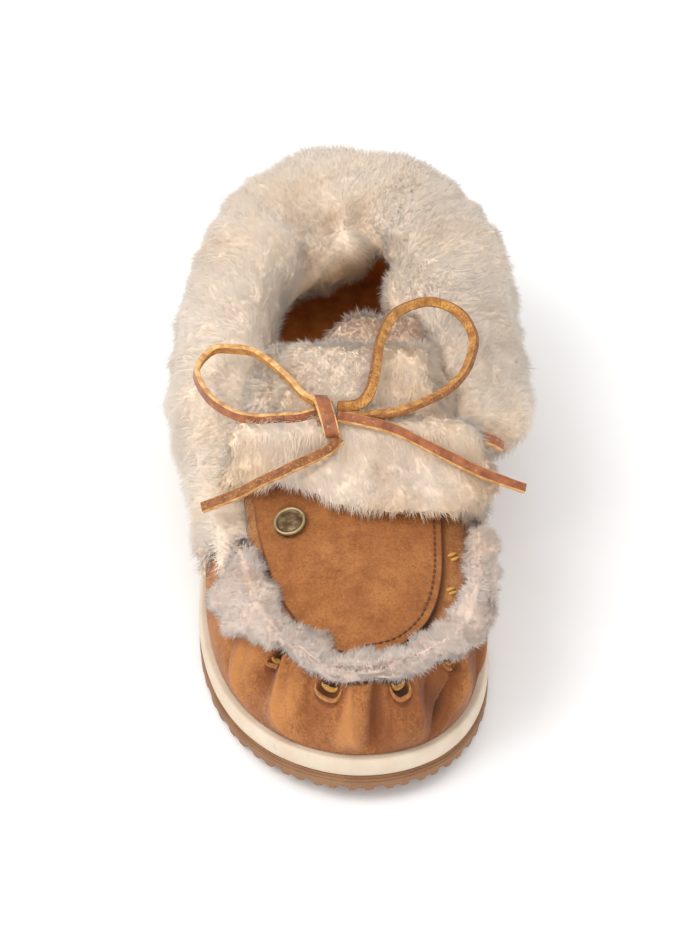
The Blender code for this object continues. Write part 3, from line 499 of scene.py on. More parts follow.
def outline(turn):
    """Plan points of the sole's edge: turn 0 is the toe tip, and pi the heel, by way of the lateral side."""
    along = along_of(turn)
    lateral = np.sin(turn) >= 0
    shares = np.where(lateral, read(SOLE_ROWS, "lateral", along), read(SOLE_ROWS, "medial", along))
    toe = np.where(lateral, rounded(along, TOE_LATERAL), rounded(along, TOE_MEDIAL))
    half = BALL_WIDTH * shares * toe * rounded(1 - along, HEEL_END)
    x = np.where(lateral, axis_x(along) - half, axis_x(along) + half)
    return np.stack((x, y_at(along), np.zeros_like(x)), -1)


def outward(turn):
    """Level unit vectors that point out of the outline."""
    step = 0.01
    way = outline(turn + step) - outline(turn - step)
    return unit(np.stack((-way[..., 1], way[..., 0], np.zeros_like(way[..., 0])), -1))


def edge(turn, inset):
    return outline(turn) - outward(turn) * np.asarray(inset)[..., None]


FINE_TURNS = np.linspace(0, TWO_PI, 2881)
FINE_ARCS = np.concatenate(([0], np.cumsum(np.linalg.norm(np.diff(outline(FINE_TURNS), axis=0), axis=1))))


def even_turns(count):
    """Turns at equal distances round the edge."""
    return np.interp(np.linspace(0, FINE_ARCS[-1], count, endpoint=False), FINE_ARCS, FINE_TURNS)


def toe_turns(near, far, reach=0.125):
    """Turns round the whole edge: near of them within reach of the toe tip, and far of them behind that."""
    total = FINE_ARCS[-1]
    front = np.linspace(-reach, reach, near, endpoint=False)
    rear = np.linspace(reach, total - reach, far, endpoint=False)
    return np.sort(np.interp(np.concatenate((front, rear)) % total, FINE_ARCS, FINE_TURNS))


def arc_at(turn):
    """Signed distance from the toe tip round the edge, medial side positive."""
    here = np.interp(turn % TWO_PI, FINE_TURNS, FINE_ARCS)
    return np.where(here < FINE_ARCS[-1] / 2, -here, FINE_ARCS[-1] - here)


def turn_at(arc):
    """Turn at a signed distance from the toe tip round the edge."""
    return np.interp(-np.asarray(arc) % FINE_ARCS[-1], FINE_ARCS, FINE_TURNS)


def spring(along):
    return TOE_SPRING * read(RISE_ROWS, "spring", along)


def tread(along):
    return spring(along) + ARCH_RISE * read(RISE_ROWS, "arch", along)


def sole_top(along):
    return spring(along) + OUTSOLE_THICKNESS + GAP + MIDSOLE_THICKNESS


def lean(turn):
    along = along_of(turn)
    shares = np.where(np.sin(turn) >= 0, read(TOP_ROWS, "lateral", along), read(TOP_ROWS, "medial", along))
    return BALL_WIDTH * shares


def top_height(along):
    return COLLAR_HEIGHT * read(TOP_ROWS, "height", along)


def folds_at(turn, rise):
    """Gathers of the toe wall, wide ones and sharper listed creases."""
    arc = arc_at(turn)
    soft = np.sin(math.pi * rise**FOLD_CURVE)
    height = sum(fold.height * np.exp(-(((arc - fold.arc) / fold.width) ** 2)) for fold in FOLDS) * soft
    for crease in CREASES:
        span = crease.high_rise - crease.low_rise
        share = (rise - crease.low_rise) / span
        centre = crease.low_arc + (crease.high_arc - crease.low_arc) * np.clip(share, -0.3, 1.2)
        window = smoothed(share, -0.25, 0.25) * (1 - 0.6 * smoothed(share, 0.95, 1.3))
        height = height + crease.height * window * np.exp(-(((arc - centre) / crease.width) ** 2))
    for loop in WALL_LOOPS:
        spot = ((arc - loop.arc) / (loop.half * 0.75)) ** 2 + ((rise - loop.rise + 0.02) / 0.11) ** 2
        height = height - loop.depth * np.exp(-spot * spot)
    return height * smoothed(rise, 0.0, 0.12)


# Painted shade of the toe wall, each given as the depth of a fold that looks as dark
MEDIAL_PAINTED_SHADE = 0.0022
UNDER_LIP_PAINTED_SHADOW = 0.0042
POCKET_PAINTED_SHADE = 0.0048


def painted_shade_at(turn, rise):
    """Painted shade on the toe wall: in the seam loops' pockets, a painted shadow under their lips, and down
    its medial side.
    """
    arc = arc_at(turn)
    tone = MEDIAL_PAINTED_SHADE * smoothed(arc, 0.001, 0.014) * (1 - smoothed(arc, 0.16, 0.22))
    for loop in WALL_LOOPS:
        share = (arc - loop.arc) / loop.half
        hang = loop.drop / WALL_HEIGHT * np.sqrt(np.clip(1 - share**2, 0, 1))
        low = loop.rise - hang
        under = np.exp(-(((rise - low + 0.045) / 0.022) ** 2)) * (1 - smoothed(np.abs(share), 0.8, 1.1))
        inside = smoothed(rise, low - 0.01, low + 0.02) * (1 - smoothed(np.abs(share), 0.7, 1.0))
        tone = tone + UNDER_LIP_PAINTED_SHADOW * under + POCKET_PAINTED_SHADE * inside
    return tone


def wall_points(turn, rise, depth=0.0):
    """Points of the upper's wall: rise 0 stands on the sole and 1 is the top edge."""
    inset = UPPER_INSET + lean(turn) * rise**LEAN_CURVE + depth
    out = TOE_BULGE * np.sin(math.pi * rise) + folds_at(turn, rise)
    points = edge(turn, inset) + outward(turn) * out[..., None]
    foot = sole_top(along_at(points[..., 1])) + GAP
    points[..., 2] = foot + (top_height(along_of(turn)) - foot) * rise
    return points


def seam_points(turn, inset):
    """Points inside the top edge of the upper, measured level from its outer face."""
    points = edge(turn, UPPER_INSET + lean(turn) + inset)
    points[..., 2] = top_height(along_of(turn))
    return points


def side_table(side):
    turn = np.linspace(0, math.pi, 240, endpoint=False)
    points = seam_points(turn if side == "lateral" else TWO_PI - turn, UPPER_WALL + GAP)
    order = np.argsort(points[:, 1])
    return along_at(points[order, 1]), points[order, 0]


LATERAL_SIDE = side_table("lateral")
MEDIAL_SIDE = side_table("medial")


def plug_height(x, along):
    """Height of the plug's upper face, crowned between the two sides of the seam."""
    low = np.interp(along, *LATERAL_SIDE)
    high = np.interp(along, *MEDIAL_SIDE)
    across = np.clip((x - low) / np.maximum(high - low, 1e-6), 0, 1)
    crown = PLUG_CROWN * read(TOP_ROWS, "crown", along)
    return top_height(along) + crown * (1 - (2 * across - 1) ** 2)


def plug_grid(margins, lift, rows, across):
    """Points over the plug, from the toe to the throat, inside margins (toe, lateral, medial)."""
    toe, lateral, medial = margins
    last = math.acos(1 - 2 * THROAT_ALONG)
    k = np.arange(rows) / (rows - 1)
    turn = last * np.maximum(k, PLUG_BLUNT)
    share = np.sin(math.pi / 2 * k) ** 2
    left = seam_points(turn, UPPER_WALL + GAP + toe + (lateral - toe) * share)
    right = seam_points(TWO_PI - turn, UPPER_WALL + GAP + toe + (medial - toe) * share)
    share = across[None, :, None]
    grid = left[:, None] * (1 - share) + right[:, None] * share
    grid[..., 2] = plug_height(grid[..., 0], along_at(grid[..., 1])) + lift
    return grid


# Shares across the plug, closer together at its edges
HIDE_EDGE = np.array((0, 0.006, 0.013, 0.022))
HIDE_COLUMNS = np.concatenate((HIDE_EDGE, np.linspace(0.035, 0.965, 56), 1 - HIDE_EDGE[::-1]))
HIDE_ROWS = 84


def panel_grid(inset_lateral, inset_medial, inset_toe, rows, across):
    """Points on the panel's upper face, inside its edge, with its slight waves."""
    insets = (inset_toe, inset_lateral, inset_medial)
    margins = np.array((PANEL_MARGIN_TOE, PANEL_MARGIN_LATERAL, PANEL_MARGIN_MEDIAL)) + insets
    grid = plug_grid(margins, PANEL_GAP + PANEL_THICKNESS, rows, across)
    grid[..., 2] += 0.0004 * waves(grid.reshape(-1, 3), 0.022, 12).reshape(grid.shape[:2])
    return grid


# Meshes

def mesh_of(name, points, faces):
    """Mesh from arrays: every face has as many corners as the array has columns."""
    mesh = bpy.data.meshes.new(name)
    mesh.vertices.add(len(points))
    mesh.vertices.foreach_set("co", np.ascontiguousarray(points, dtype=np.float32).ravel())
    mesh.loops.add(faces.size)
    mesh.loops.foreach_set("vertex_index", np.ascontiguousarray(faces, dtype=np.int32).ravel())
    mesh.polygons.add(len(faces))
    mesh.polygons.foreach_set("loop_start", np.arange(len(faces), dtype=np.int32) * faces.shape[1])
    mesh.update(calc_edges=True)
    return mesh


def grid_faces(rows, columns, closed=False):
    i, j = np.meshgrid(np.arange(rows - 1), np.arange(columns if closed else columns - 1), indexing="ij")
    after = (j + 1) % columns
    corners = (i * columns + j, i * columns + after, (i + 1) * columns + after, (i + 1) * columns + j)
    return np.stack(corners, -1).reshape(-1, 4)


def add_piece(mesh, finishes, slot, *nodes, smooth=True):
    """An object on the slipper's body with the given finishes, which may stand for CAD nodes. The slot is not
    used.
    """
    for finish in finishes:
        mesh.materials.append(finish)
    if smooth:
        mesh.shade_smooth()
    made = bpy.data.objects.new(mesh.name, mesh)
    bpy.context.collection.objects.link(made)
    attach(made, "root")
    if nodes:
        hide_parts(*nodes)
    return made


def tidied(mesh, merge=1e-6, angle=None):
    """Merges doubled points, drops flat faces and turns the faces outwards."""
    bm = bmesh.new()
    bm.from_mesh(mesh)
    bmesh.ops.remove_doubles(bm, verts=bm.verts, dist=merge)
    bmesh.ops.dissolve_degenerate(bm, edges=bm.edges, dist=merge)
    bmesh.ops.recalc_face_normals(bm, faces=bm.faces)
    if bm.calc_volume(signed=True) < 0:
        bmesh.ops.reverse_faces(bm, faces=bm.faces)
    bm.to_mesh(mesh)
    bm.free()
    mesh.shade_smooth()
    if angle:
        mesh.set_sharp_from_angle(angle=math.radians(angle))
    return mesh


def place_points(mesh, points):
    mesh.vertices.foreach_set("co", points.astype(np.float32).ravel())
    mesh.update()


def store(mesh, name, values):
    made = mesh.attributes.new(name, "FLOAT", "POINT")
    made.data.foreach_set("value", np.ascontiguousarray(values, dtype=np.float32).ravel())


def rings_mesh(name, rings, merge=1e-6, angle=None):
    rings = np.asarray(rings)
    mesh = mesh_of(name, rings.reshape(-1, 3), grid_faces(len(rings), rings.shape[1], closed=True))
    return tidied(mesh, merge, angle)


def closed_tube(name, rings):
    """Rings joined into a tube whose ends close at their middles."""
    ends = [np.tile(ring.mean(0), (len(ring), 1)) for ring in (rings[0], rings[-1])]
    return rings_mesh(name, [ends[0], *rings, ends[1]])


# Lace

def smooth_route(points, count):
    """Evenly many points on a smooth curve through the route's own points."""
    route = np.array([(x, TOE_Y + from_toe, z) for x, from_toe, z in points])
    padded = np.vstack((2 * route[0] - route[1], route, 2 * route[-1] - route[-2]))
    at = np.linspace(0, len(route) - 1, count)
    k = np.minimum(at.astype(int), len(route) - 2)
    t = (at - k)[:, None]
    a, b, c, d = (padded[k + step] for step in range(4))
    return ((b * 2) + (c - a) * t + (a * 2 - b * 5 + c * 4 - d) * t**2 + (b * 3 - a - c * 3 + d) * t**3) / 2


STRAP_BULGE = 0.0003
STRAP_SECTION = (
    (-0.5, -0.30), (-0.42, -0.5), (-0.2, -0.5), (0.2, -0.5), (0.42, -0.5), (0.5, -0.30),
    (0.5, 0.30), (0.42, 0.5), (0.2, 0.5), (-0.2, 0.5), (-0.42, 0.5), (-0.5, 0.30),
)


def strap(name, route, faces_way, width, thickness, finishes, slot, *nodes):
    """A flat thong along a route, its width one number or one for each point.

    The second finish is on the side that faces the given way, and the third is on the edges.
    """
    width = np.broadcast_to(np.asarray(width, float), len(route))[:, None]
    along = unit(np.gradient(route, axis=0))
    normal = unit(faces_way - along * (faces_way * along).sum(-1, keepdims=True))
    wide = np.cross(along, normal)
    uneven = 1 + 0.06 * waves(route, 0.012, 3)[:, None]
    rings = [
        route + wide * (width * across) * uneven + normal * (thickness * up) for across, up in STRAP_SECTION
    ]
    rings = np.stack(rings, 1)
    count = len(STRAP_SECTION)
    caps = [
        np.tile(rings[end].mean(0) - along[end] * STRAP_BULGE * side, (1, count, 1))
        for end, side in ((0, 1), (-1, -1))
    ]
    rings = np.concatenate((caps[0], rings, caps[1]))
    mesh = mesh_of(name, rings.reshape(-1, 3), grid_faces(len(rings), count, closed=True))
    picks = np.tile([2, 0, 0, 0, 2, 2, 2, 1, 1, 1, 2, 2], len(rings) - 1)
    picks[:count] = 2
    picks[-count:] = 2
    mesh.polygons.foreach_set("material_index", picks.astype(np.int32))
    return add_piece(tidied(mesh, angle=50), finishes, slot, *nodes)


def level_normals(route, centre):
    """Level vectors square to the route that point away from a centre."""
    along = unit(np.gradient(route, axis=0))
    normal = unit(np.stack((-along[:, 1], along[:, 0], np.zeros(len(route))), -1))
    away = ((route - centre) * normal).sum(-1, keepdims=True)
    return normal * np.where(away.mean() >= 0, 1, -1)


def leathers():
    """Finishes of the thong: flesh side, grain side, cut edge and worn flesh side."""
    grain = mottled(
        "thong_grain", (0.27, 0.075, 0.022), 0.42, Blotch(0.004, 4, 0.35, 0.65),
        ((0.20, 0.05, 0.015), (0.38, 0.12, 0.035)), Blotch(0.0022, 3, 0.60, 0.74, 0.8), (0.62, 0.30, 0.10),
        ((0.0008, 3),), 0.0002, Coat_Weight=0.15)
    flesh = mottled(
        "thong_flesh", (0.55, 0.25, 0.05), 0.75, Blotch(0.0035, 4, 0.35, 0.65),
        ((0.36, 0.14, 0.03), (0.68, 0.34, 0.08)), Blotch(0.0008, 3, 0.48, 0.66, 0.75), (0.25, 0.09, 0.02),
        ((0.0006, 3),), 0.0004)
    cut = mottled(
        "thong_edge", (0.72, 0.42, 0.16), 0.7, Blotch(0.0025, 3, 0.35, 0.65),
        ((0.50, 0.22, 0.06), (0.80, 0.50, 0.20)))
    brown_tone = mottled(
        "thong_aged", (0.27, 0.10, 0.03), 0.75, Blotch(0.0030, 4, 0.35, 0.65),
        ((0.17, 0.055, 0.018), (0.32, 0.12, 0.035)), Blotch(0.0008, 3, 0.52, 0.68, 0.7), (0.54, 0.26, 0.08),
        ((0.0006, 3),), 0.0004)
    return flesh, grain, cut, brown_tone


def add_lace():
    flesh, grain, cut, brown_tone = leathers()
    plain = [flesh, grain, cut]
    up = np.array((0.0, -0.45, 0.9))
    pieces = (
        ("lace_left_loop", LACE_LOOP_LEFT, 150, "lace_loop_left", "object", 1.0, (0, 0, 0.25), plain),
        ("lace_right_loop", LACE_LOOP_RIGHT, 170, "lace_loop_right", "object", 0.6, (0, 0.5, -0.8),
         [flesh, grain, brown_tone]),
        ("lace_left_tail", LACE_TAIL_LEFT, 70, "lace_tail_left", "bare", 0.0, up, [grain, brown_tone, cut]),
        ("lace_right_tail", LACE_TAIL_RIGHT, 80, "lace_tail_right", "bare", 0.0, up, plain),
    )
    for name, points, count, node, far_end, outward_share, facing, finishes in pieces:
        route = smooth_route(points, count)
        ways = level_normals(route, route.mean(0)) * outward_share + np.array(facing)
        made = strap(name, route, ways, LACE_WIDTH, LACE_THICKNESS, finishes, "thong_leather", node)
    bar = smooth_route(LACE_BAR, 120)
    strap("lace_crossing", bar, np.tile(up, (120, 1)), LACE_WIDTH, LACE_THICKNESS, plain, "thong_leather",
          "lace_bar")
    add_knot(plain)


def add_knot(finishes):
    """The band that wraps the crossing: a turn and a quarter of thong drawn tight, with its end tucked under.
    """
    centre = np.array((KNOT_X, TOE_Y + 0.0944, 0.0815))
    angle = np.linspace(-0.6 * math.pi, 1.9 * math.pi, 110)
    tilt = np.array((0.0, 0.966, 0.26))
    rise = np.array((0.0, -0.26, 0.966))
    side = np.array((1.0, 0, 0))
    route = centre + tilt * (0.0072 * np.cos(angle))[:, None] + rise * (0.0030 * np.sin(angle))[:, None]
    route = route + side * (0.0018 * (angle / TWO_PI - 0.3) - 0.0017 * np.cos(angle))[:, None]
    ways = tilt * np.cos(angle)[:, None] + rise * np.sin(angle)[:, None]
    strap("lace_band", route, ways, 0.0052, 0.0018, finishes, "thong_leather", "lace_knot")


add_camera()
add_studio()
add_lace()


# Sole

def sole_ring(turn, inset, height, pull=0.0):
    points = edge(turn, np.full(turn.shape, float(inset)))
    along = along_at(points[:, 1])
    middle = np.stack((axis_x(along), y_at(SPINE[0] + (SPINE[1] - SPINE[0]) * along)), -1)
    points[:, :2] += (middle - points[:, :2]) * pull
    points[:, 2] = height(along_at(points[:, 1]), points)
    return points


def flat_rings(turn, inset, height, pulls):
    """Level rings at one height over the toe spring, each drawn in towards the spine by its pull."""
    return [sole_ring(turn, inset, lambda along, p: spring(along) + height, pull) for pull in pulls]


def groove_depth(points):
    """How deep the tread is cut at each point."""
    along = (points[:, 1] - TOE_Y) / SOLE_LENGTH
    cut = np.zeros(len(points))
    soft = 0.0004
    for start, end in (FOREFOOT_LUGS, HEEL_LUGS):
        count = round((end - start) * SOLE_LENGTH / LUG_PITCH)
        pitch = (end - start) / count
        phase = (along - start) / pitch % 1.0
        off = np.abs(phase - 0.5) * pitch * SOLE_LENGTH
        inside = (along > start) & (along < end)
        across = (1 - smoothed(off, LUG_GROOVE / 2 - soft, LUG_GROOVE / 2 + soft)) * inside * LUG_DEPTH
        centre = 1 - smoothed(np.abs(points[:, 0]), CENTRE_GROOVE / 2 - soft, CENTRE_GROOVE / 2 + soft)
        cut = np.maximum(cut, np.maximum(across, centre * inside * CENTRE_GROOVE_DEPTH))
    return cut


def add_outsole():
    """Gum rubber cup with rounded lugs along its lower edge and cut grooves under it."""
    turn = even_turns(960)
    phase = turn * OUTSOLE_STEPS / TWO_PI / 2
    wide = smoothed(0.5 - 0.5 * np.cos(TWO_PI * phase), 0.62, 0.92)
    notch = np.maximum(0.62 * wide, 0.36 * smoothed(0.5 + 0.5 * np.cos(TWO_PI * phase), 0.80, 0.97))
    side = OUTSOLE_THICKNESS - OUTSOLE_STEP
    rings = []
    pulls = 1 - (np.linspace(0, 1, 15) ** 0.8)
    for pull in pulls:
        rings.append(sole_ring(turn, SCALLOP_REACH, lambda along, p: tread(along) + groove_depth(p), pull))
    for inset in (0.0064, 0.0058, 0.0052, 0.0044, 0.0036, 0.0028, 0.0021, LUG_BEVEL):
        reach = 1 - smoothed(np.array(inset), SCALLOP_REACH - 0.0018, SCALLOP_REACH - 0.0004)
        rings.append(sole_ring(turn, inset, lambda along, p: np.maximum(
            tread(along) + groove_depth(p), spring(along) + SCALLOP_RISE * notch * reach)))
    for share in np.linspace(0.15, 1, 6):
        inset = LUG_BEVEL * (1 - math.sin(share * math.pi / 2))
        rise = LUG_BEVEL * 0.8 * (1 - math.cos(share * math.pi / 2))
        rings.append(sole_ring(turn, inset, lambda along, p: np.maximum(
            tread(along) + groove_depth(p) * (1 - share), spring(along) + SCALLOP_RISE * notch) + rise))
    low = 0.0044
    band = (
        (0.0, low), (0.00022, low + 0.0001), (0.00022, low + 0.0004), (0.0, low + 0.0005),
        (0.0, side - 0.0004), (0.0001, side - 0.0001), (0.0004, side), (OUTSOLE_STEP, side + 0.0001),
        (OUTSOLE_STEP, OUTSOLE_THICKNESS - 0.0003), (OUTSOLE_STEP + 0.0003, OUTSOLE_THICKNESS),
    )
    for inset, height in band:
        rings.append(sole_ring(turn, inset, lambda along, p: spring(along) + height))
    rings += flat_rings(turn, SOLE_FACE_INSET, OUTSOLE_THICKNESS, (0.0, 0.5, 1.0))
    rubber = mottled(
        "gum_rubber_look", (0.34, 0.17, 0.075), 0.6, Blotch(0.012, 4, 0.35, 0.7),
        ((0.29, 0.145, 0.066), (0.23, 0.105, 0.043)),
        Blotch(0.0009, 2, 0.45, 0.75, 0.35), (0.17, 0.075, 0.03),
        ((0.0007, 2), (0.004, 2)), 0.0003)
    add_piece(rings_mesh("rubber_sole", rings, 2e-5, 38), [rubber], "gum_rubber", "outsole")


def add_midsole():
    """Cream foam plate whose edge stands out as a half-round band."""
    turn = even_turns(460)
    base = OUTSOLE_THICKNESS + GAP
    rings = flat_rings(turn, SOLE_FACE_INSET, base, (1.0, 0.5, 0.0))
    for angle in np.linspace(-0.5, 0.5, 15) * math.pi:
        inset = MIDSOLE_ROUNDING * (1 - math.cos(angle) ** 0.75)
        height = base + MIDSOLE_THICKNESS * (0.5 + 0.5 * math.sin(angle))
        rings.append(sole_ring(turn, inset, lambda along, p: spring(along) + height))
    rings += flat_rings(turn, SOLE_FACE_INSET, base + MIDSOLE_THICKNESS, (0.0, 0.5, 1.0))
    foam = mottled(
        "cream_foam_look", (0.66, 0.56, 0.45), 0.55, Blotch(0.010, 4, 0.3, 0.7),
        ((0.68, 0.57, 0.45), (0.60, 0.49, 0.36)), Blotch(0.0018, 4, 0.62, 0.78, 0.4), (0.45, 0.33, 0.22),
        ((0.0012, 3),), 0.0001)
    add_piece(rings_mesh("foam_band", rings, 2e-5, 50), [foam], "cream_foam", "midsole")


# Upper

def add_upper():
    """Suede wall with its gathers, the lining's skin inside it, joined across its top edge."""
    turn = toe_turns(480, 220)
    bands = ((0, 0.1, 4), (0.1, 0.70, 17), (0.70, 1, 18))
    rises = np.unique(np.concatenate([np.linspace(*band) for band in bands]).round(9))
    rings = [wall_points(turn, np.full(turn.shape, rise)) for rise in rises]
    # Fold values tint the suede: painted light on ridges, painted shade in troughs, lowered further by the
    # painted shade in the pockets, under the lips and down the medial side
    folds = [folds_at(turn, np.full(turn.shape, rise)) - painted_shade_at(turn, rise) for rise in rises]
    for rise in (1.0, 0.8, 0.6, 0.4, 0.2, 0.0):
        rings.append(wall_points(turn, np.full(turn.shape, rise), UPPER_WALL))
        folds.append(np.zeros(turn.shape))
    mesh = mesh_of("suede_wall", np.array(rings).reshape(-1, 3), grid_faces(len(rings), len(turn), True))
    store(mesh, "fold", np.array(folds))
    finish = suede("suede_look", (0.33, 0.112, 0.026), (0.50, 0.205, 0.060), (0.17, 0.045, 0.007))
    bm = bmesh.new()
    bm.from_mesh(mesh)
    bmesh.ops.recalc_face_normals(bm, faces=bm.faces)
    bm.to_mesh(mesh)
    bm.free()
    add_piece(mesh, [finish], "suede", "upper")


def add_skin(name, grid, thickness, finishes, slot, node, fold):
    """A hide cut from a grid of points, tinted by its fold values, which carry painted light and shade. Its
    cut edge takes the second finish.
    """
    rows, columns = grid.shape[:2]
    lower = grid - np.array((0, 0, thickness))
    points = np.concatenate((grid.reshape(-1, 3), lower.reshape(-1, 3)))
    quads = grid_faces(rows, columns)
    count = rows * columns
    index = np.arange(count).reshape(rows, columns)
    rim = np.concatenate((index[0], index[1:, -1], index[-1, -2::-1], index[-2:0:-1, 0]))
    after = np.roll(rim, -1)
    sides = np.stack((rim, after, after + count, rim + count), -1)
    faces = np.concatenate((quads[:, ::-1], quads + count, sides))
    mesh = mesh_of(name, points, faces)
    picks = np.zeros(len(faces), np.int32)
    picks[2 * len(quads):] = len(finishes) - 1
    mesh.polygons.foreach_set("material_index", picks)
    store(mesh, "fold", np.tile(fold.ravel(), 2))
    return add_piece(tidied(mesh, 1e-7, 45), finishes, slot, node)


def add_apron():
    """The plug over the toes and the stitched second layer on it."""
    base = suede("plug_look", (0.42, 0.160, 0.044), (0.60, 0.29, 0.11), (0.24, 0.075, 0.015))
    cut = suede("cut_edge_look", (0.22, 0.085, 0.022), (0.32, 0.13, 0.04), (0.12, 0.04, 0.01))
    grid = plug_grid((0, 0, 0), 0, HIDE_ROWS, HIDE_COLUMNS)
    grid[..., 2] += 0.0003 * waves(grid.reshape(-1, 3), 0.02, 11).reshape(grid.shape[:2])
    # Painted shadow of the panel's medial edge on the plug beside it
    lines = panel_grid(0, 0, 0, 200, np.array((0.0, 1.0)))
    border = lines[:, 1]
    gaps = np.sqrt(((grid[:, :, None, :2] - border[None, None, :, :2]) ** 2).sum(-1).min(-1))
    fold = -0.0060 * np.exp(-((gaps / 0.0012) ** 2))
    add_skin("apron_base", grid, PLUG_THICKNESS, [base, cut], "plug_suede", "plug", fold)
    top = suede("panel_look", (0.345, 0.118, 0.027), (0.45, 0.175, 0.048), (0.21, 0.060, 0.010))
    grid = panel_grid(0, 0, 0, HIDE_ROWS, HIDE_COLUMNS)
    grid[:, (0, -1), 2] -= 0.0005
    grid[0, :, 2] -= 0.0005
    # Painted shade along the panel's rim where its edge turns down, strongest on the medial side and at the
    # toe
    fold = np.zeros(grid.shape[:2])
    fold[:, (-2, -1)] = -0.0075
    fold[:, (0, 1)] = -0.0012
    fold[0] = -0.0075
    add_skin("apron_top", grid, PANEL_THICKNESS, [top, cut], "panel_suede", "apron_panel", fold)
    add_stitches()


def stitch_mesh(name, centres, along, up, half, radius):
    """Rounded stitches, each pressed into the hide at its centre."""
    aside = unit(np.cross(along, up))
    sides, stations = 6, 5
    angle = np.arange(sides) * TWO_PI / sides
    share = np.linspace(-1, 1, stations)
    radii = radius * np.sqrt(np.maximum(1 - share**2, 0.08))
    round_way = (aside[:, None, None] * np.cos(angle)[None, None, :, None]
                 + up[:, None, None] * np.sin(angle)[None, None, :, None])
    points = (centres[:, None, None] + along[:, None, None] * (half * share)[None, :, None, None]
              + round_way * radii[None, :, None, None])
    base = grid_faces(stations, sides, True)
    starts = np.arange(len(centres)) * sides * stations
    faces = (base[None] + starts[:, None, None]).reshape(-1, 4)
    return tidied(mesh_of(name, points.reshape(-1, 3), faces))


def add_stitches():
    """Row of small stitches inside the panel's edge, and thick gold ones across the plug's medial margin."""
    grid = panel_grid(0.0014, 0.0027, 0.0027, 90, np.linspace(0, 1, 60))
    path = np.concatenate((grid[0, 20:-1], grid[:, -1]))
    lengths = np.concatenate(([0], np.cumsum(np.linalg.norm(np.diff(path, axis=0), axis=1))))
    pitch = 0.0022
    places = np.arange(pitch, lengths[-1] - pitch, pitch)
    centres, ahead = (
        np.stack([np.interp(places + step, lengths, path[:, k]) for k in range(3)], -1)
        for step in (0, 0.001))
    along = unit(ahead - centres)
    up = np.tile((0, 0, 1.0), (len(centres), 1))
    thread = mottled(
        "thread_look", (0.13, 0.05, 0.015), 0.6,
        Blotch(0.0012, 2, 0, 1), ((0.07, 0.02, 0.006), (0.15, 0.055, 0.018)))
    mesh = stitch_mesh("panel_stitches", centres + up * 0.0001, along, up, 0.00090, 0.00042)
    add_piece(mesh, [thread], "panel_suede")
    gold = mottled(
        "gold_thread_look", (0.70, 0.36, 0.06), 0.5,
        Blotch(0.0010, 2, 0, 1), ((0.45, 0.20, 0.03), (0.85, 0.50, 0.12)))
    arcs = np.repeat(GOLD_STITCHES, 2) + np.tile((-0.0007, 0.0007), len(GOLD_STITCHES))
    turn = turn_at(arcs)
    centres = seam_points(turn, UPPER_WALL + GAP + np.tile((0.0046, 0.0056), len(GOLD_STITCHES)))
    centres[:, 2] = plug_height(centres[:, 0], along_at(centres[:, 1])) + 0.0003
    up = np.tile((0, 0, 1.0), (len(centres), 1))
    ways = unit(outward(turn) + np.array((0, 0.5, 0)))
    add_piece(stitch_mesh("gold_stitches", centres, ways, up, 0.0016, 0.0007), [gold], "plug_suede")


def add_seam_loops():
    """Suede lips under the toe wall's pockets, whose dark is painted shade on the wall, and the rawhide that
    draws them up under the seam's wool.
    """
    lip = suede("lip_look", (0.40, 0.15, 0.038), (0.60, 0.30, 0.10), (0.22, 0.065, 0.012))
    hide = mottled(
        "rawhide_look", (0.45, 0.19, 0.035), 0.5,
        Blotch(0.002, 3, 0, 1), ((0.36, 0.15, 0.02), (0.66, 0.36, 0.08)),
        grain=((0.0006, 2),), relief=0.0002)
    for index, loop in enumerate(WALL_LOOPS):
        for name, finish, half, drop, lift, width in (
            (f"seam_lip_{index + 1}", lip, loop.half, loop.drop, 0.0009, 0.0013),
            (f"seam_thong_{index + 1}", hide, loop.half * 0.62, loop.drop * 0.5, 0.0004, 0.0017),
        ):
            share = np.linspace(-1, 1, 40)
            turn = turn_at(loop.arc + half * share)
            hang = np.sqrt(np.clip(1 - share**2, 0, 1))
            rise = np.clip(loop.rise - drop / WALL_HEIGHT * hang, 0, 1)
            base = wall_points(turn, rise)
            above = wall_points(turn, np.clip(rise + 0.05, 0, 1))
            around = outward(turn)
            upward = unit(above - base)
            normal = unit(around - upward * (around * upward).sum(-1, keepdims=True))
            route = base + normal * (0.0003 + lift * hang)[:, None]
            taper = width * (0.30 + 0.70 * hang)
            strap(name, route, normal + upward * 0.6, taper, 0.0010, [finish] * 3, "thong_leather")


# Badge

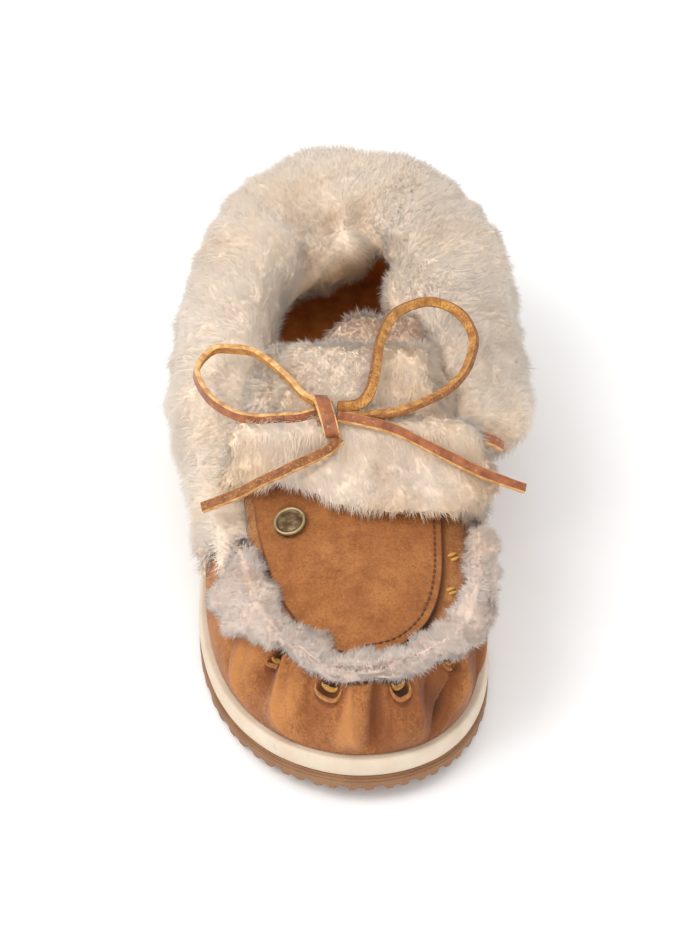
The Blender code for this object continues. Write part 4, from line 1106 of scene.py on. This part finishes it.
def add_badge():
    """Round stud, turned from its profile, with a raised rim and a softly hammered face."""
    profile = (
        (0.0, 0.62), (0.2, 0.64), (0.45, 0.62), (0.62, 0.58), (0.69, 0.54), (0.73, 0.56), (0.77, 0.72),
        (0.82, 0.92), (0.87, 1.0), (0.92, 0.97), (0.97, 0.82), (1.0, 0.55), (1.0, 0.25), (0.98, 0.05),
        (0.9, 0.0), (0.0, 0.0),
    )
    count = 72
    angle = np.linspace(0, TWO_PI, count, endpoint=False)
    rings = [
        np.stack((BADGE_RADIUS * out * np.cos(angle), BADGE_RADIUS * out * np.sin(angle),
                  np.full(count, BADGE_HEIGHT * up)), -1)
        for out, up in profile
    ]
    mesh = rings_mesh("stud", rings, 1e-6, 60)
    heights = np.array([vertex.co.z for vertex in mesh.vertices])
    store(mesh, "rim", smoothed(heights, BADGE_HEIGHT * 0.72, BADGE_HEIGHT * 0.90))
    step = 0.004
    across, ahead = (step * np.array(ways) for ways in ((-1, 1, 0, 0, 0), (0, 0, -1, 1, 0)))
    heights = plug_height(BADGE_X + across, BADGE_ALONG + ahead / SOLE_LENGTH)
    square = Vector((heights[0] - heights[1], heights[2] - heights[3], 2 * step)).normalized()
    here = Vector((BADGE_X, y_at(BADGE_ALONG), heights[4] + PANEL_GAP + PANEL_THICKNESS)) + square * (2 * GAP)
    turned = Vector((0, 0, 1)).rotation_difference(square).to_matrix().to_4x4()
    turned.translation = here
    mesh.transform(turned)
    brass = material("antique_brass_look", (0.20, 0.14, 0.07), 0.42, Metallic=0.85)
    worn = ranged(brass, noise(brass, 0.0022, 3), 0.35, 0.62)
    color = mixed(brass, worn, (0.24, 0.17, 0.09), (0.10, 0.065, 0.03))
    color = mixed(brass, attribute(brass, "rim"), color, (0.42, 0.32, 0.17))
    paint(brass, color)
    emboss(brass, ((noise(brass, 0.0022, 2), 1.0),), 0.0003)
    add_piece(mesh, [brass], "antique_brass", "badge")


# Wool

EASING_ROUNDS = 14
Surface = namedtuple("Surface", "points normals corners eased")


def surface_of(mesh):
    """Points, normals and triangles of a mesh, and its normals averaged over their neighbours many times."""
    mesh.calc_loop_triangles()
    points = np.empty(len(mesh.vertices) * 3, np.float32)
    normals = np.empty(len(mesh.vertices) * 3, np.float32)
    corners = np.empty(len(mesh.loop_triangles) * 3, np.int32)
    ends = np.empty(len(mesh.edges) * 2, np.int32)
    mesh.vertices.foreach_get("co", points)
    mesh.vertex_normals.foreach_get("vector", normals)
    mesh.loop_triangles.foreach_get("vertices", corners)
    mesh.edges.foreach_get("vertices", ends)
    points, normals = (values.reshape(-1, 3).astype(float) for values in (points, normals))
    start, end = ends.reshape(-1, 2).T
    eased = normals
    for _ in range(EASING_ROUNDS):
        total = eased.copy()
        np.add.at(total, start, eased[end])
        np.add.at(total, end, eased[start])
        eased = unit(total)
    return Surface(points, normals, corners.reshape(-1, 3), eased)


def thickness_at(surface):
    """Distance straight through the solid from each of its points."""
    tree = bvhtree.BVHTree.FromPolygons(surface.points.tolist(), surface.corners.tolist())
    through = np.full(len(surface.points), 0.02)
    for index, (point, normal) in enumerate(zip(surface.points, surface.normals)):
        hit = tree.ray_cast(Vector(point - normal * 1e-5), Vector(-normal))
        if hit[0]:
            through[index] = hit[3]
    return through


# A soft body made from a node's solid: voxel size, smoothing rounds, how far it is drawn in, and its lumps
SoftBody = namedtuple("SoftBody", "node name cell rounds inset lumps lump_size seed")
CUFF_BODY = SoftBody("cuff", "cuff_body", 0.0022, 8, 0.0016, 0.0007, 0.022, 41)
FLAP_BODY = SoftBody("tongue", "flap_body", 0.0020, 6, 0.0014, 0.0006, 0.018, 51)
SEAM_BODY = SoftBody("seam_wool", "seam_body", 0.0012, 8, 0.0008, 0.0011, 0.009, 61)


def softened(body, buried=None):
    """The CAD solid's form as one soft lumpy body, drawn in a little as the pile brings it back to size."""
    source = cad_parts[body.node].data.copy()
    if buried:
        joined = bmesh.new()
        joined.from_mesh(source)
        joined.from_mesh(buried)
        joined.to_mesh(source)
        joined.free()
    scratch = bpy.data.objects.new(body.name, source)
    bpy.context.collection.objects.link(scratch)
    grown = scratch.modifiers.new("cells", "REMESH")
    grown.mode = "VOXEL"
    grown.voxel_size = body.cell
    eased = scratch.modifiers.new("eased", "SMOOTH")
    eased.factor = 0.5
    eased.iterations = body.rounds
    graph = bpy.context.evaluated_depsgraph_get()
    mesh = bpy.data.meshes.new_from_object(scratch.evaluated_get(graph))
    bpy.data.objects.remove(scratch)
    mesh.name = body.name
    mesh.materials.clear()
    surface = surface_of(mesh)
    moved = waves(surface.points, body.lump_size, body.seed) * body.lumps
    moved = moved + waves(surface.points, body.lump_size * 0.45, body.seed + 1) * body.lumps * 0.5
    moved = moved - np.minimum(body.inset, thickness_at(surface) * 0.25)
    place_points(mesh, surface.points + surface.normals * moved[:, None])
    return mesh


def scattered(surface, count, weights=None):
    """Random places on a surface, even by area: points, normals and eased normals."""
    corners = surface.points[surface.corners]
    areas = np.linalg.norm(np.cross(corners[:, 1] - corners[:, 0], corners[:, 2] - corners[:, 0]), axis=1)
    if weights is not None:
        areas = areas * weights(corners.mean(1), unit(surface.normals[surface.corners].sum(1)))
    picks = chance.choice(len(areas), count, p=areas / areas.sum())
    a, b = chance.random((2, count))
    flip = a + b > 1
    a, b = np.where(flip, 1 - a, a), np.where(flip, 1 - b, b)
    shares = np.stack((1 - a - b, a, b), -1)[..., None]
    points = (surface.points[surface.corners[picks]] * shares).sum(1)
    normals, eased = (unit((values[surface.corners[picks]] * shares).sum(1))
                      for values in (surface.normals, surface.eased))
    return points, normals, eased


Pile = namedtuple("Pile", "length width stand spread stray clump clump_size deep", defaults=(None,))


def nearest(points, centres):
    """Index of the nearest centre for each point."""
    tree = kdtree.KDTree(len(centres))
    for index, centre in enumerate(centres):
        tree.insert(centre, index)
    tree.balance()
    return np.array([tree.find(point)[1] for point in points])


def add_pile(name, roots, groom, pile, finish, slot, *nodes):
    """Fibres from the given roots: narrow straight three-sided spikes that lie along the groom and gather in
    locks.
    """
    points, normals, soft = roots
    count = len(points)
    lay = groom(points, normals)
    lay = unit(lay - normals * (lay * normals).sum(-1, keepdims=True))
    swirl = np.stack([waves(points, 0.016, seed) for seed in (21, 22, 23)], -1) * 0.35
    centre_picks = chance.choice(count, max(count // pile.clump_size, 1), replace=False)
    owner = nearest(points, points[centre_picks])
    own_centre = centre_picks[owner]
    lock_way = chance.normal(size=(len(centre_picks), 3))[owner] * pile.spread * 1.1
    lock_length = chance.uniform(0.8, 1.2, len(centre_picks))[owner]
    stray = chance.normal(size=(count, 3)) * pile.stray
    way = unit(normals * pile.stand + lay * (1 - pile.stand) + swirl * (1 - pile.stand) + lock_way + stray)
    way = unit(way - normals * np.minimum((way * normals).sum(-1, keepdims=True) - 0.12, 0))
    length = pile.length * lock_length * chance.uniform(0.7, 1.15, count)
    root = points - normals * 0.0005
    tip = root + way * length[:, None]
    tip += (tip[own_centre] - tip) * (pile.clump * chance.uniform(0.5, 1.0, count))[:, None]
    spin = chance.uniform(0, TWO_PI, count)[:, None]
    aside = unit(np.cross(way, normals) + 1e-6)
    across = np.cross(way, aside)
    radius = (pile.width * 0.58 * chance.uniform(0.75, 1.25, count))[:, None]
    base = [root + (aside * np.cos(spin + turn) + across * np.sin(spin + turn)) * radius
            for turn in (0, TWO_PI / 3, 2 * TWO_PI / 3)]
    corners = np.stack((*base, tip), 1)
    start = np.arange(count, dtype=np.int32)[:, None, None] * 4
    faces = (start + np.array(((0, 1, 3), (1, 2, 3), (2, 0, 3)), np.int32)).reshape(-1, 3)
    mesh = mesh_of(name, corners.reshape(-1, 3), faces)
    eased = unit(soft + normals * 0.25 + way * 0.22)
    mesh.normals_split_custom_set_from_vertices(np.repeat(eased, 4, axis=0).tolist())
    store(mesh, "deep", np.repeat(pile.deep(points, normals) if pile.deep else np.zeros(count), 4))
    store(mesh, "tip", np.tile((0, 0, 0, 1.0), count))
    shade = 0.6 * chance.random(len(centre_picks))[owner] + 0.4 * chance.random(count)
    store(mesh, "shade", np.repeat(shade, 4))
    cells = 256
    cell = owner % (cells * cells)
    corner_u, corner_v = (cell % cells) / cells, (cell // cells) / cells
    flat = np.array(((0.1, 0.1), (0.9, 0.1), (0.2, 0.5), (0.5, 0.9))) / cells
    spots = np.stack((corner_u, corner_v), -1)[:, None] + flat
    layer = mesh.uv_layers.new(name="OFBake")
    layer.data.foreach_set("uv", spots.reshape(-1, 2)[faces.ravel()].astype(np.float32).ravel())
    return add_piece(mesh, [finish], slot, *nodes)


# Opening of the collar: its middle and its half sizes
OPENING_MIDDLE = (-0.002, 0.045)
OPENING_SIZE = (0.0145, 0.040)

RIM_TURNS = np.linspace(0, TWO_PI, 720, endpoint=False)
RIM = wall_points(RIM_TURNS, np.ones(720))
RIM_OUT = outward(RIM_TURNS)
SEAM_TURNS = np.concatenate((np.linspace(TWO_PI - 1.4, TWO_PI, 200), np.linspace(0, 1.4, 200)))
SEAM = seam_points(SEAM_TURNS, np.zeros(400))
SEAM_OUT = outward(SEAM_TURNS)
SEAM_ARCS = arc_at(SEAM_TURNS)


def rim_ways(points):
    """Level outward way of the collar's rim nearest to each point."""
    gaps = ((points[:, None, :2] - RIM[None, ::3, :2]) ** 2).sum(-1)
    return RIM_OUT[::3][gaps.argmin(1)]


def cuff_groom(points, normals):
    """Round the roll: up inside the opening, outwards over the crest and down outside."""
    out = np.concatenate([rim_ways(part) for part in np.array_split(points, 40)])
    along = np.stack((-out[:, 1], out[:, 0], np.zeros(len(out))), -1)
    way = unit(np.cross(along, normals))
    over = (way * out).sum(-1) * normals[:, 2] - way[:, 2] * (normals * out).sum(-1)
    way = way * np.where(over >= 0, 1, -1)[:, None]
    distance, middle = opening_distance(points)
    hanging = (1 - smoothed(distance, 1.2, 1.8)) * (1 - smoothed(points[:, 2], 0.056, 0.066))
    inward = np.stack((-middle[:, 0], -middle[:, 1], np.full(len(points), -0.8)), -1)
    return way * (1 - hanging)[:, None] + unit(inward) * (2 * hanging)[:, None]


# Soft lumps that fill out the wool of the flap and the cuff: place, half sizes and turn about the upright
Lump = namedtuple("Lump", "x y z half_x half_y half_z turn")
FLAP_LUMPS = (
    Lump(0.0030, 0.0195, 0.0600, 0.0135, 0.0215, 0.0085, -0.25),
    Lump(0.0190, 0.0200, 0.0600, 0.0100, 0.0200, 0.0090, -0.10),
    Lump(-0.0040, 0.0060, 0.0655, 0.0120, 0.0120, 0.0080, 0.0),
    Lump(-0.0275, -0.0150, 0.0640, 0.0085, 0.0170, 0.0100, 0.1),
    Lump(0.0270, -0.0140, 0.0640, 0.0085, 0.0170, 0.0100, -0.1),
    Lump(-0.0230, 0.0030, 0.0630, 0.0090, 0.0140, 0.0110, 0.0),
    Lump(0.0250, 0.0040, 0.0630, 0.0090, 0.0140, 0.0110, 0.0),
    Lump(0.0400, -0.0525, 0.0510, 0.0060, 0.0075, 0.0052, 0.0),
    Lump(-0.0010, -0.0020, 0.0675, 0.0240, 0.0095, 0.0078, 0.0),
    Lump(0.0020, 0.0080, 0.0640, 0.0200, 0.0100, 0.0078, 0.0),
)
CUFF_LUMPS = (
    Lump(-0.0130, 0.0790, 0.0530, 0.0120, 0.0120, 0.0105, 0.0),
    Lump(-0.0215, 0.0680, 0.0540, 0.0080, 0.0110, 0.0105, 0.0),
    Lump(-0.0020, 0.0850, 0.0530, 0.0100, 0.0100, 0.0100, 0.0),
    Lump(0.0190, 0.0530, 0.0600, 0.0075, 0.0120, 0.0085, 0.0),
    Lump(-0.0368, -0.0610, 0.0480, 0.0070, 0.0080, 0.0055, 0.0),
)
SIDE_OPENS = 0.0055


def behind_flap(points, normals):
    """Painted shade on the flap's wool: browner only where it goes down into the opening."""
    return 0.75 * smoothed(points[:, 1] + 0.5 * (0.075 - points[:, 2]), 0.004, 0.028)


# Wool along the wall where the cuff's lateral end meets the seam's wool: distance round the toe, out from the
# seam, above it, and half sizes of its section
TubeRow = namedtuple("TubeRow", "arc out up half_out half_up")
CUFF_TUBE = (
    TubeRow(-0.150, 0.0040, 0.0000, 0.0085, 0.0065),
    TubeRow(-0.135, 0.0030, -0.0005, 0.0085, 0.0052),
    TubeRow(-0.120, 0.0025, -0.0010, 0.0085, 0.0042),
    TubeRow(-0.105, 0.0025, -0.0010, 0.0080, 0.0048),
    TubeRow(-0.090, 0.0030, -0.0015, 0.0075, 0.0050),
    TubeRow(-0.078, 0.0040, -0.0025, 0.0040, 0.0030),
)


def cuff_roll():
    """A roll of wool that thickens the cuff's thin lateral end."""
    angle = np.linspace(0, TWO_PI, 16, endpoint=False)
    rings = []
    for arc in np.linspace(CUFF_TUBE[0].arc, CUFF_TUBE[-1].arc, 24):
        turn = turn_at(arc)
        out_way = outward(np.array([turn]))[0]
        out, up, half_out, half_up = (
            float(read(CUFF_TUBE, column, arc)) for column in ("out", "up", "half_out", "half_up"))
        centre = seam_points(np.array([turn]), np.zeros(1))[0] + out_way * out + np.array((0, 0, up))
        rings.append(centre + out_way * (half_out * np.cos(angle))[:, None]
                     + np.array((0, 0, 1.0)) * (half_up * np.sin(angle))[:, None])
    return closed_tube("cuff_roll", rings)


def filling(name, lumps, fill):
    """A loose mesh of another filling and soft lumps, for a body to take in."""
    joined = bmesh.new()
    joined.from_mesh(fill)
    for lump in lumps:
        turned = Matrix.Translation((lump.x, lump.y, lump.z)) @ Matrix.Rotation(lump.turn, 4, "Z")
        placed = turned @ Matrix.Diagonal((lump.half_x, lump.half_y, lump.half_z, 1))
        bmesh.ops.create_icosphere(joined, subdivisions=3, radius=1.0, matrix=placed)
    mesh = bpy.data.meshes.new(name)
    joined.to_mesh(mesh)
    joined.free()
    return mesh


def open_side(mesh):
    """Draws the cuff's inner edge back where the opening is widest, on its lateral side."""
    points = surface_of(mesh).points
    distance, middle = opening_distance(points)
    side = smoothed(-middle[:, 0], 0.4, 0.9) * (1 - smoothed(np.abs(middle[:, 1] + 0.25), 0.35, 0.95))
    points[:, 0] -= SIDE_OPENS * side * (1 - smoothed(distance, 1.1, 2.3))
    place_points(mesh, points)


# Half width and half height of the wool over the crossing
VALLEY_HALF_OUT = 0.0062
VALLEY_HALF_UP = 0.0042


def valley_fill():
    """Wool that has closed over the crossing, all but its medial end."""
    route = smooth_route(LACE_BAR, 60)[:54]
    before = route[0] + (route[0] - route[3]) * np.linspace(1.6, 0.3, 6)[:, None]
    route = np.concatenate((before, route))
    route[:, 2] += 0.0004
    angle = np.linspace(0, TWO_PI, 12, endpoint=False)
    along = unit(np.gradient(route, axis=0))
    across = unit(np.cross(along, np.array((0, 0, 1.0))))
    up = np.cross(across, along)
    ease = np.sqrt(np.clip(np.sin(np.linspace(0.02, math.pi - 0.02, len(route))) * 2.5, 0.05, 1))
    rings = [
        point + (out_way * VALLEY_HALF_OUT * np.cos(angle)[:, None]
                 + up_way * VALLEY_HALF_UP * np.sin(angle)[:, None]) * share
        for point, out_way, up_way, share in zip(route, across, up, ease)
    ]
    return closed_tube("valley_fill", rings)


def flap_groom(points, normals):
    way = np.tile(np.array((0.0, -1.0, -0.15)), (len(points), 1))
    way[:, 0] += 0.35 * (points[:, 0] - TOE_AXIS_X) / 0.045
    return way


def ring_groom(points, normals):
    """Tufts that lean in over the plug and out over the wall, each its own way."""
    out, far = seam_frame(points)[1:]
    ways = out * np.where(far < 0.001, -1, 1)[:, None]
    return np.stack([waves(points, 0.006, seed) for seed in (31, 32, 33)], -1) * 0.5 + ways


def ring_shade(points, normals):
    """The seam's wool is browner where it thins out over the plug."""
    far = seam_frame(points)[2]
    return (0.10 + 0.60 * smoothed(-far, 0.004, 0.011)) * smoothed(waves(points, 0.006, 34), -0.5, 0.8)


def opening_distance(points):
    """Distance of each point from the opening's middle, 1 at its edge, and the way out from there."""
    middle = (points[:, :2] - np.array(OPENING_MIDDLE)) / np.array(OPENING_SIZE)
    return np.linalg.norm(middle, axis=1), middle


def inside_shade(points, normals):
    """How brown the cuff's pile is with age and painted shade: the painted shade most of all at its lower
    edge in the opening.
    """
    distance, middle = opening_distance(points)
    near = 1 - smoothed(distance, 1.05, 1.75)
    low = 1 - smoothed(points[:, 2], 0.046, 0.066)
    brown_tone = 0.5 + 0.5 * waves(points, 0.010, 71)
    rear = smoothed(middle[:, 1], 0.1, 0.8) * (1 - smoothed(distance, 1.1, 2.2))
    return np.clip(near * 0.75 * low + 0.22 * near * brown_tone + 0.22 * rear * brown_tone, 0, 0.9)


# Width of the seam's wool along the seam: how far it lies in over the plug and out over the wall
RingRow = namedtuple("RingRow", "arc inner outer")
RING_ROWS = (
    RingRow(-0.120, 0.0060, 0.0105),
    RingRow(-0.095, 0.0060, 0.0122),
    RingRow(-0.075, 0.0062, 0.0124),
    RingRow(-0.058, 0.0072, 0.0100),
    RingRow(-0.045, 0.0082, 0.0056),
    RingRow(-0.030, 0.0098, 0.0015),
    RingRow(-0.010, 0.0112, 0.0008),
    RingRow(0.010, 0.0112, 0.0006),
    RingRow(0.025, 0.0100, 0.0010),
    RingRow(0.040, 0.0076, 0.0045),
    RingRow(0.055, 0.0050, 0.0072),
    RingRow(0.070, 0.0030, 0.0078),
    RingRow(0.110, 0.0028, 0.0078),
)
RING_INNER = 0.0050
RING_OUTER = 0.0066
LOOP_SPREAD = 0.0016


def seam_frame(points):
    """For each point: the nearest place on the seam, the way out there and the distance out from it."""
    gaps = ((points[:, None, :2] - SEAM[None, :, :2]) ** 2).sum(-1).argmin(1)
    out = SEAM_OUT[gaps]
    return gaps, out, ((points - SEAM[gaps]) * out).sum(-1)


def spread_ring(mesh):
    """Draws the ring of wool in over the plug and lets it hang over the wall, as far as its rows say."""
    surface = surface_of(mesh)
    place, out, far = seam_frame(surface.points)
    arc = SEAM_ARCS[place]
    inner, outer = (read(RING_ROWS, column, arc) for column in ("inner", "outer"))
    for loop in WALL_LOOPS:
        outer = outer + LOOP_SPREAD * np.exp(-(((arc - loop.arc) / (loop.half * 0.6)) ** 2))
    moved = np.where(far < 0, far * inner / RING_INNER, far * outer / RING_OUTER)
    points = surface.points + out * (moved - far)[:, None]
    plug_rise = plug_height(points[:, 0], along_at(points[:, 1])) - plug_height(
        surface.points[:, 0], along_at(surface.points[:, 1]))
    slant = np.maximum(lean(SEAM_TURNS[place]), 0.001)
    drops = [WALL_HEIGHT * (1 - np.clip(1 - (reach - TOE_BULGE) / slant, 0, 1) ** (1 / LEAN_CURVE))
             for reach in (moved, far)]
    fallen = np.clip(drops[0] - drops[1], -0.004, 1.5 * np.maximum(moved - far, 0))
    points[:, 2] += np.where(moved < 0, plug_rise, -fallen)
    place_points(mesh, points)


def bare_back(points, normals):
    """Few fibres grow where the cuff lies against the wall, apart from the opening."""
    out = np.concatenate([rim_ways(part) for part in np.array_split(points, 20)])
    facing_in = (normals * out).sum(-1)
    hidden = (facing_in < -0.5) & (points[:, 2] < top_height(along_at(points[:, 1])) - 0.001)
    inner = np.linalg.norm(points[:, :2] - np.array((0.0, 0.03)), axis=1) < 0.035
    return np.where(hidden & ~inner, 0.05, 1.0)


def unshaded(points, normals):
    return np.zeros(len(points))


def shaded_side(points, normals):
    """Painted shade: the lining is browner at the heel and down the lateral side, which lie in shadow."""
    border = np.minimum(0.060 + 1.5 * (points[:, 0] + 0.019), 0.087 - 0.5 * (points[:, 0] + 0.0016))
    return smoothed(points[:, 1] - border, -0.003, 0.003)


CUFF_PILES = 3
PILE_FIBRES = 42000
LINING_FIBRES = 12000
FOOTBED_FIBRES = 6000
LINING_DEPTH = 0.0042
CUFF_PILE = Pile(0.0046, 0.00025, 0.50, 0.09, 0.14, 0.14, 50, inside_shade)
FLAP_PILE = Pile(0.0046, 0.00025, 0.46, 0.07, 0.16, 0.10, 50, behind_flap)
SEAM_PILE = Pile(0.0034, 0.00020, 0.50, 0.20, 0.34, 0.12, 40, ring_shade)
LINING_PILE = Pile(0.0055, 0.00036, 0.5, 0.25, 0.15, 0.35, 45, shaded_side)
FOOTBED_PILE = LINING_PILE._replace(length=0.0045, stand=0.6)


def add_body(mesh, finish, slot, shade, *nodes, shaping=None):
    """A body under the pile, tinted like the pile's roots. Its surface is given back for them."""
    if shaping:
        shaping(mesh)
    surface = surface_of(mesh)
    store(mesh, "tip", np.full(len(mesh.vertices), 0.1))
    store(mesh, "shade", np.full(len(mesh.vertices), 0.3))
    store(mesh, "deep", shade(surface.points, surface.normals))
    add_piece(mesh, [finish], slot, *nodes)
    return surface


def add_wool():
    # The cuff's deep colours tint its browning with age and its painted shade in the opening
    cuff_finish = wool("cuff_wool_look", (0.98, 0.85, 0.72), (0.98, 0.79, 0.61), (0.97, 0.86, 0.77),
                       ((0.72, 0.50, 0.31), (0.50, 0.30, 0.15)))
    # The tongue's deep colours are painted shade where the flap goes down into the opening
    tongue_finish = wool("tongue_wool_look", (0.99, 0.85, 0.72), (0.99, 0.76, 0.54), (0.98, 0.87, 0.78),
                         ((0.90, 0.62, 0.44), (0.76, 0.48, 0.31)), 0.40, 0.58)
    ring_finish = wool("seam_wool_look", (0.92, 0.79, 0.70), (0.87, 0.66, 0.51), (0.88, 0.79, 0.74),
                       ((0.72, 0.50, 0.34), (0.56, 0.36, 0.22)), 0.5, 0.72, (0.60, 0.43, 0.32))
    # The lining's deep colours are painted shade: the dark orange of the shadowed inside
    lining_finish = wool("lining_wool_look", (0.95, 0.78, 0.62), (0.95, 0.72, 0.50), (0.90, 0.74, 0.62),
                         ((0.95, 0.36, 0.05), (0.75, 0.21, 0.02)))

    surface = add_body(softened(CUFF_BODY, filling("cuff_filling", CUFF_LUMPS, cuff_roll())), cuff_finish,
                       "cuff_wool", inside_shade, "cuff", shaping=open_side)
    for index in range(CUFF_PILES):
        roots = scattered(surface, PILE_FIBRES, bare_back)
        add_pile(f"cuff_pile_{index + 1}", roots, cuff_groom, CUFF_PILE, cuff_finish, "cuff_wool")

    surface = add_body(softened(FLAP_BODY, filling("flap_filling", FLAP_LUMPS, valley_fill())), tongue_finish,
                       "tongue_wool", behind_flap, "tongue")
    roots = scattered(
        surface, PILE_FIBRES, lambda points, normals: np.where(normals[:, 2] < -0.35, 0.08, 1.0))
    add_pile("flap_pile", roots, flap_groom, FLAP_PILE, tongue_finish, "tongue_wool")

    surface = add_body(softened(SEAM_BODY), ring_finish, "seam_wool", unshaded, "seam_wool",
                       shaping=spread_ring)
    add_pile("seam_pile", scattered(surface, PILE_FIBRES), ring_groom, SEAM_PILE, ring_finish, "seam_wool")

    add_lining(lining_finish)


def add_lining(finish):
    """Pile on the inner wall and the footbed, where the opening shows it."""
    turn = even_turns(220)
    rings = [wall_points(turn, np.full(turn.shape, rise), UPPER_WALL + LINING_DEPTH)
             for rise in np.linspace(0.06, 0.80, 14)]
    mesh = mesh_of("lining", np.array(rings).reshape(-1, 3), grid_faces(len(rings), len(turn), True))
    mesh.shade_smooth()
    surface = add_body(mesh, finish, "insole_wool", shaded_side)
    roots = scattered(
        surface, LINING_FIBRES, lambda points, normals: np.where(points[:, 1] > -0.03, 1.0, 0.05))
    add_pile("lining_pile", roots, lambda points, normals: np.tile((0.0, 0.0, 1.0), (len(points), 1)),
             LINING_PILE, finish, "insole_wool")
    turn = even_turns(240)
    base = OUTSOLE_THICKNESS + GAP + MIDSOLE_THICKNESS + INSOLE_GAP + INSOLE_THICKNESS
    rings = flat_rings(turn, FOOTBED_INSET, base - INSOLE_THICKNESS, (0.0,))
    rings += flat_rings(turn, FOOTBED_INSET, base, np.linspace(0, 1, 14))
    surface = add_body(rings_mesh("footbed", rings), finish, "insole_wool", shaded_side, "insole")
    roots = scattered(
        surface, FOOTBED_FIBRES, lambda points, normals: np.where(points[:, 1] > -0.05, 1.0, 0.1))
    add_pile("footbed_pile", roots, lambda points, normals: np.tile((0.0, -1.0, 0.0), (len(points), 1)),
             FOOTBED_PILE, finish, "insole_wool")


add_outsole()
add_midsole()
add_upper()
add_apron()
add_seam_loops()
add_badge()
add_wool()
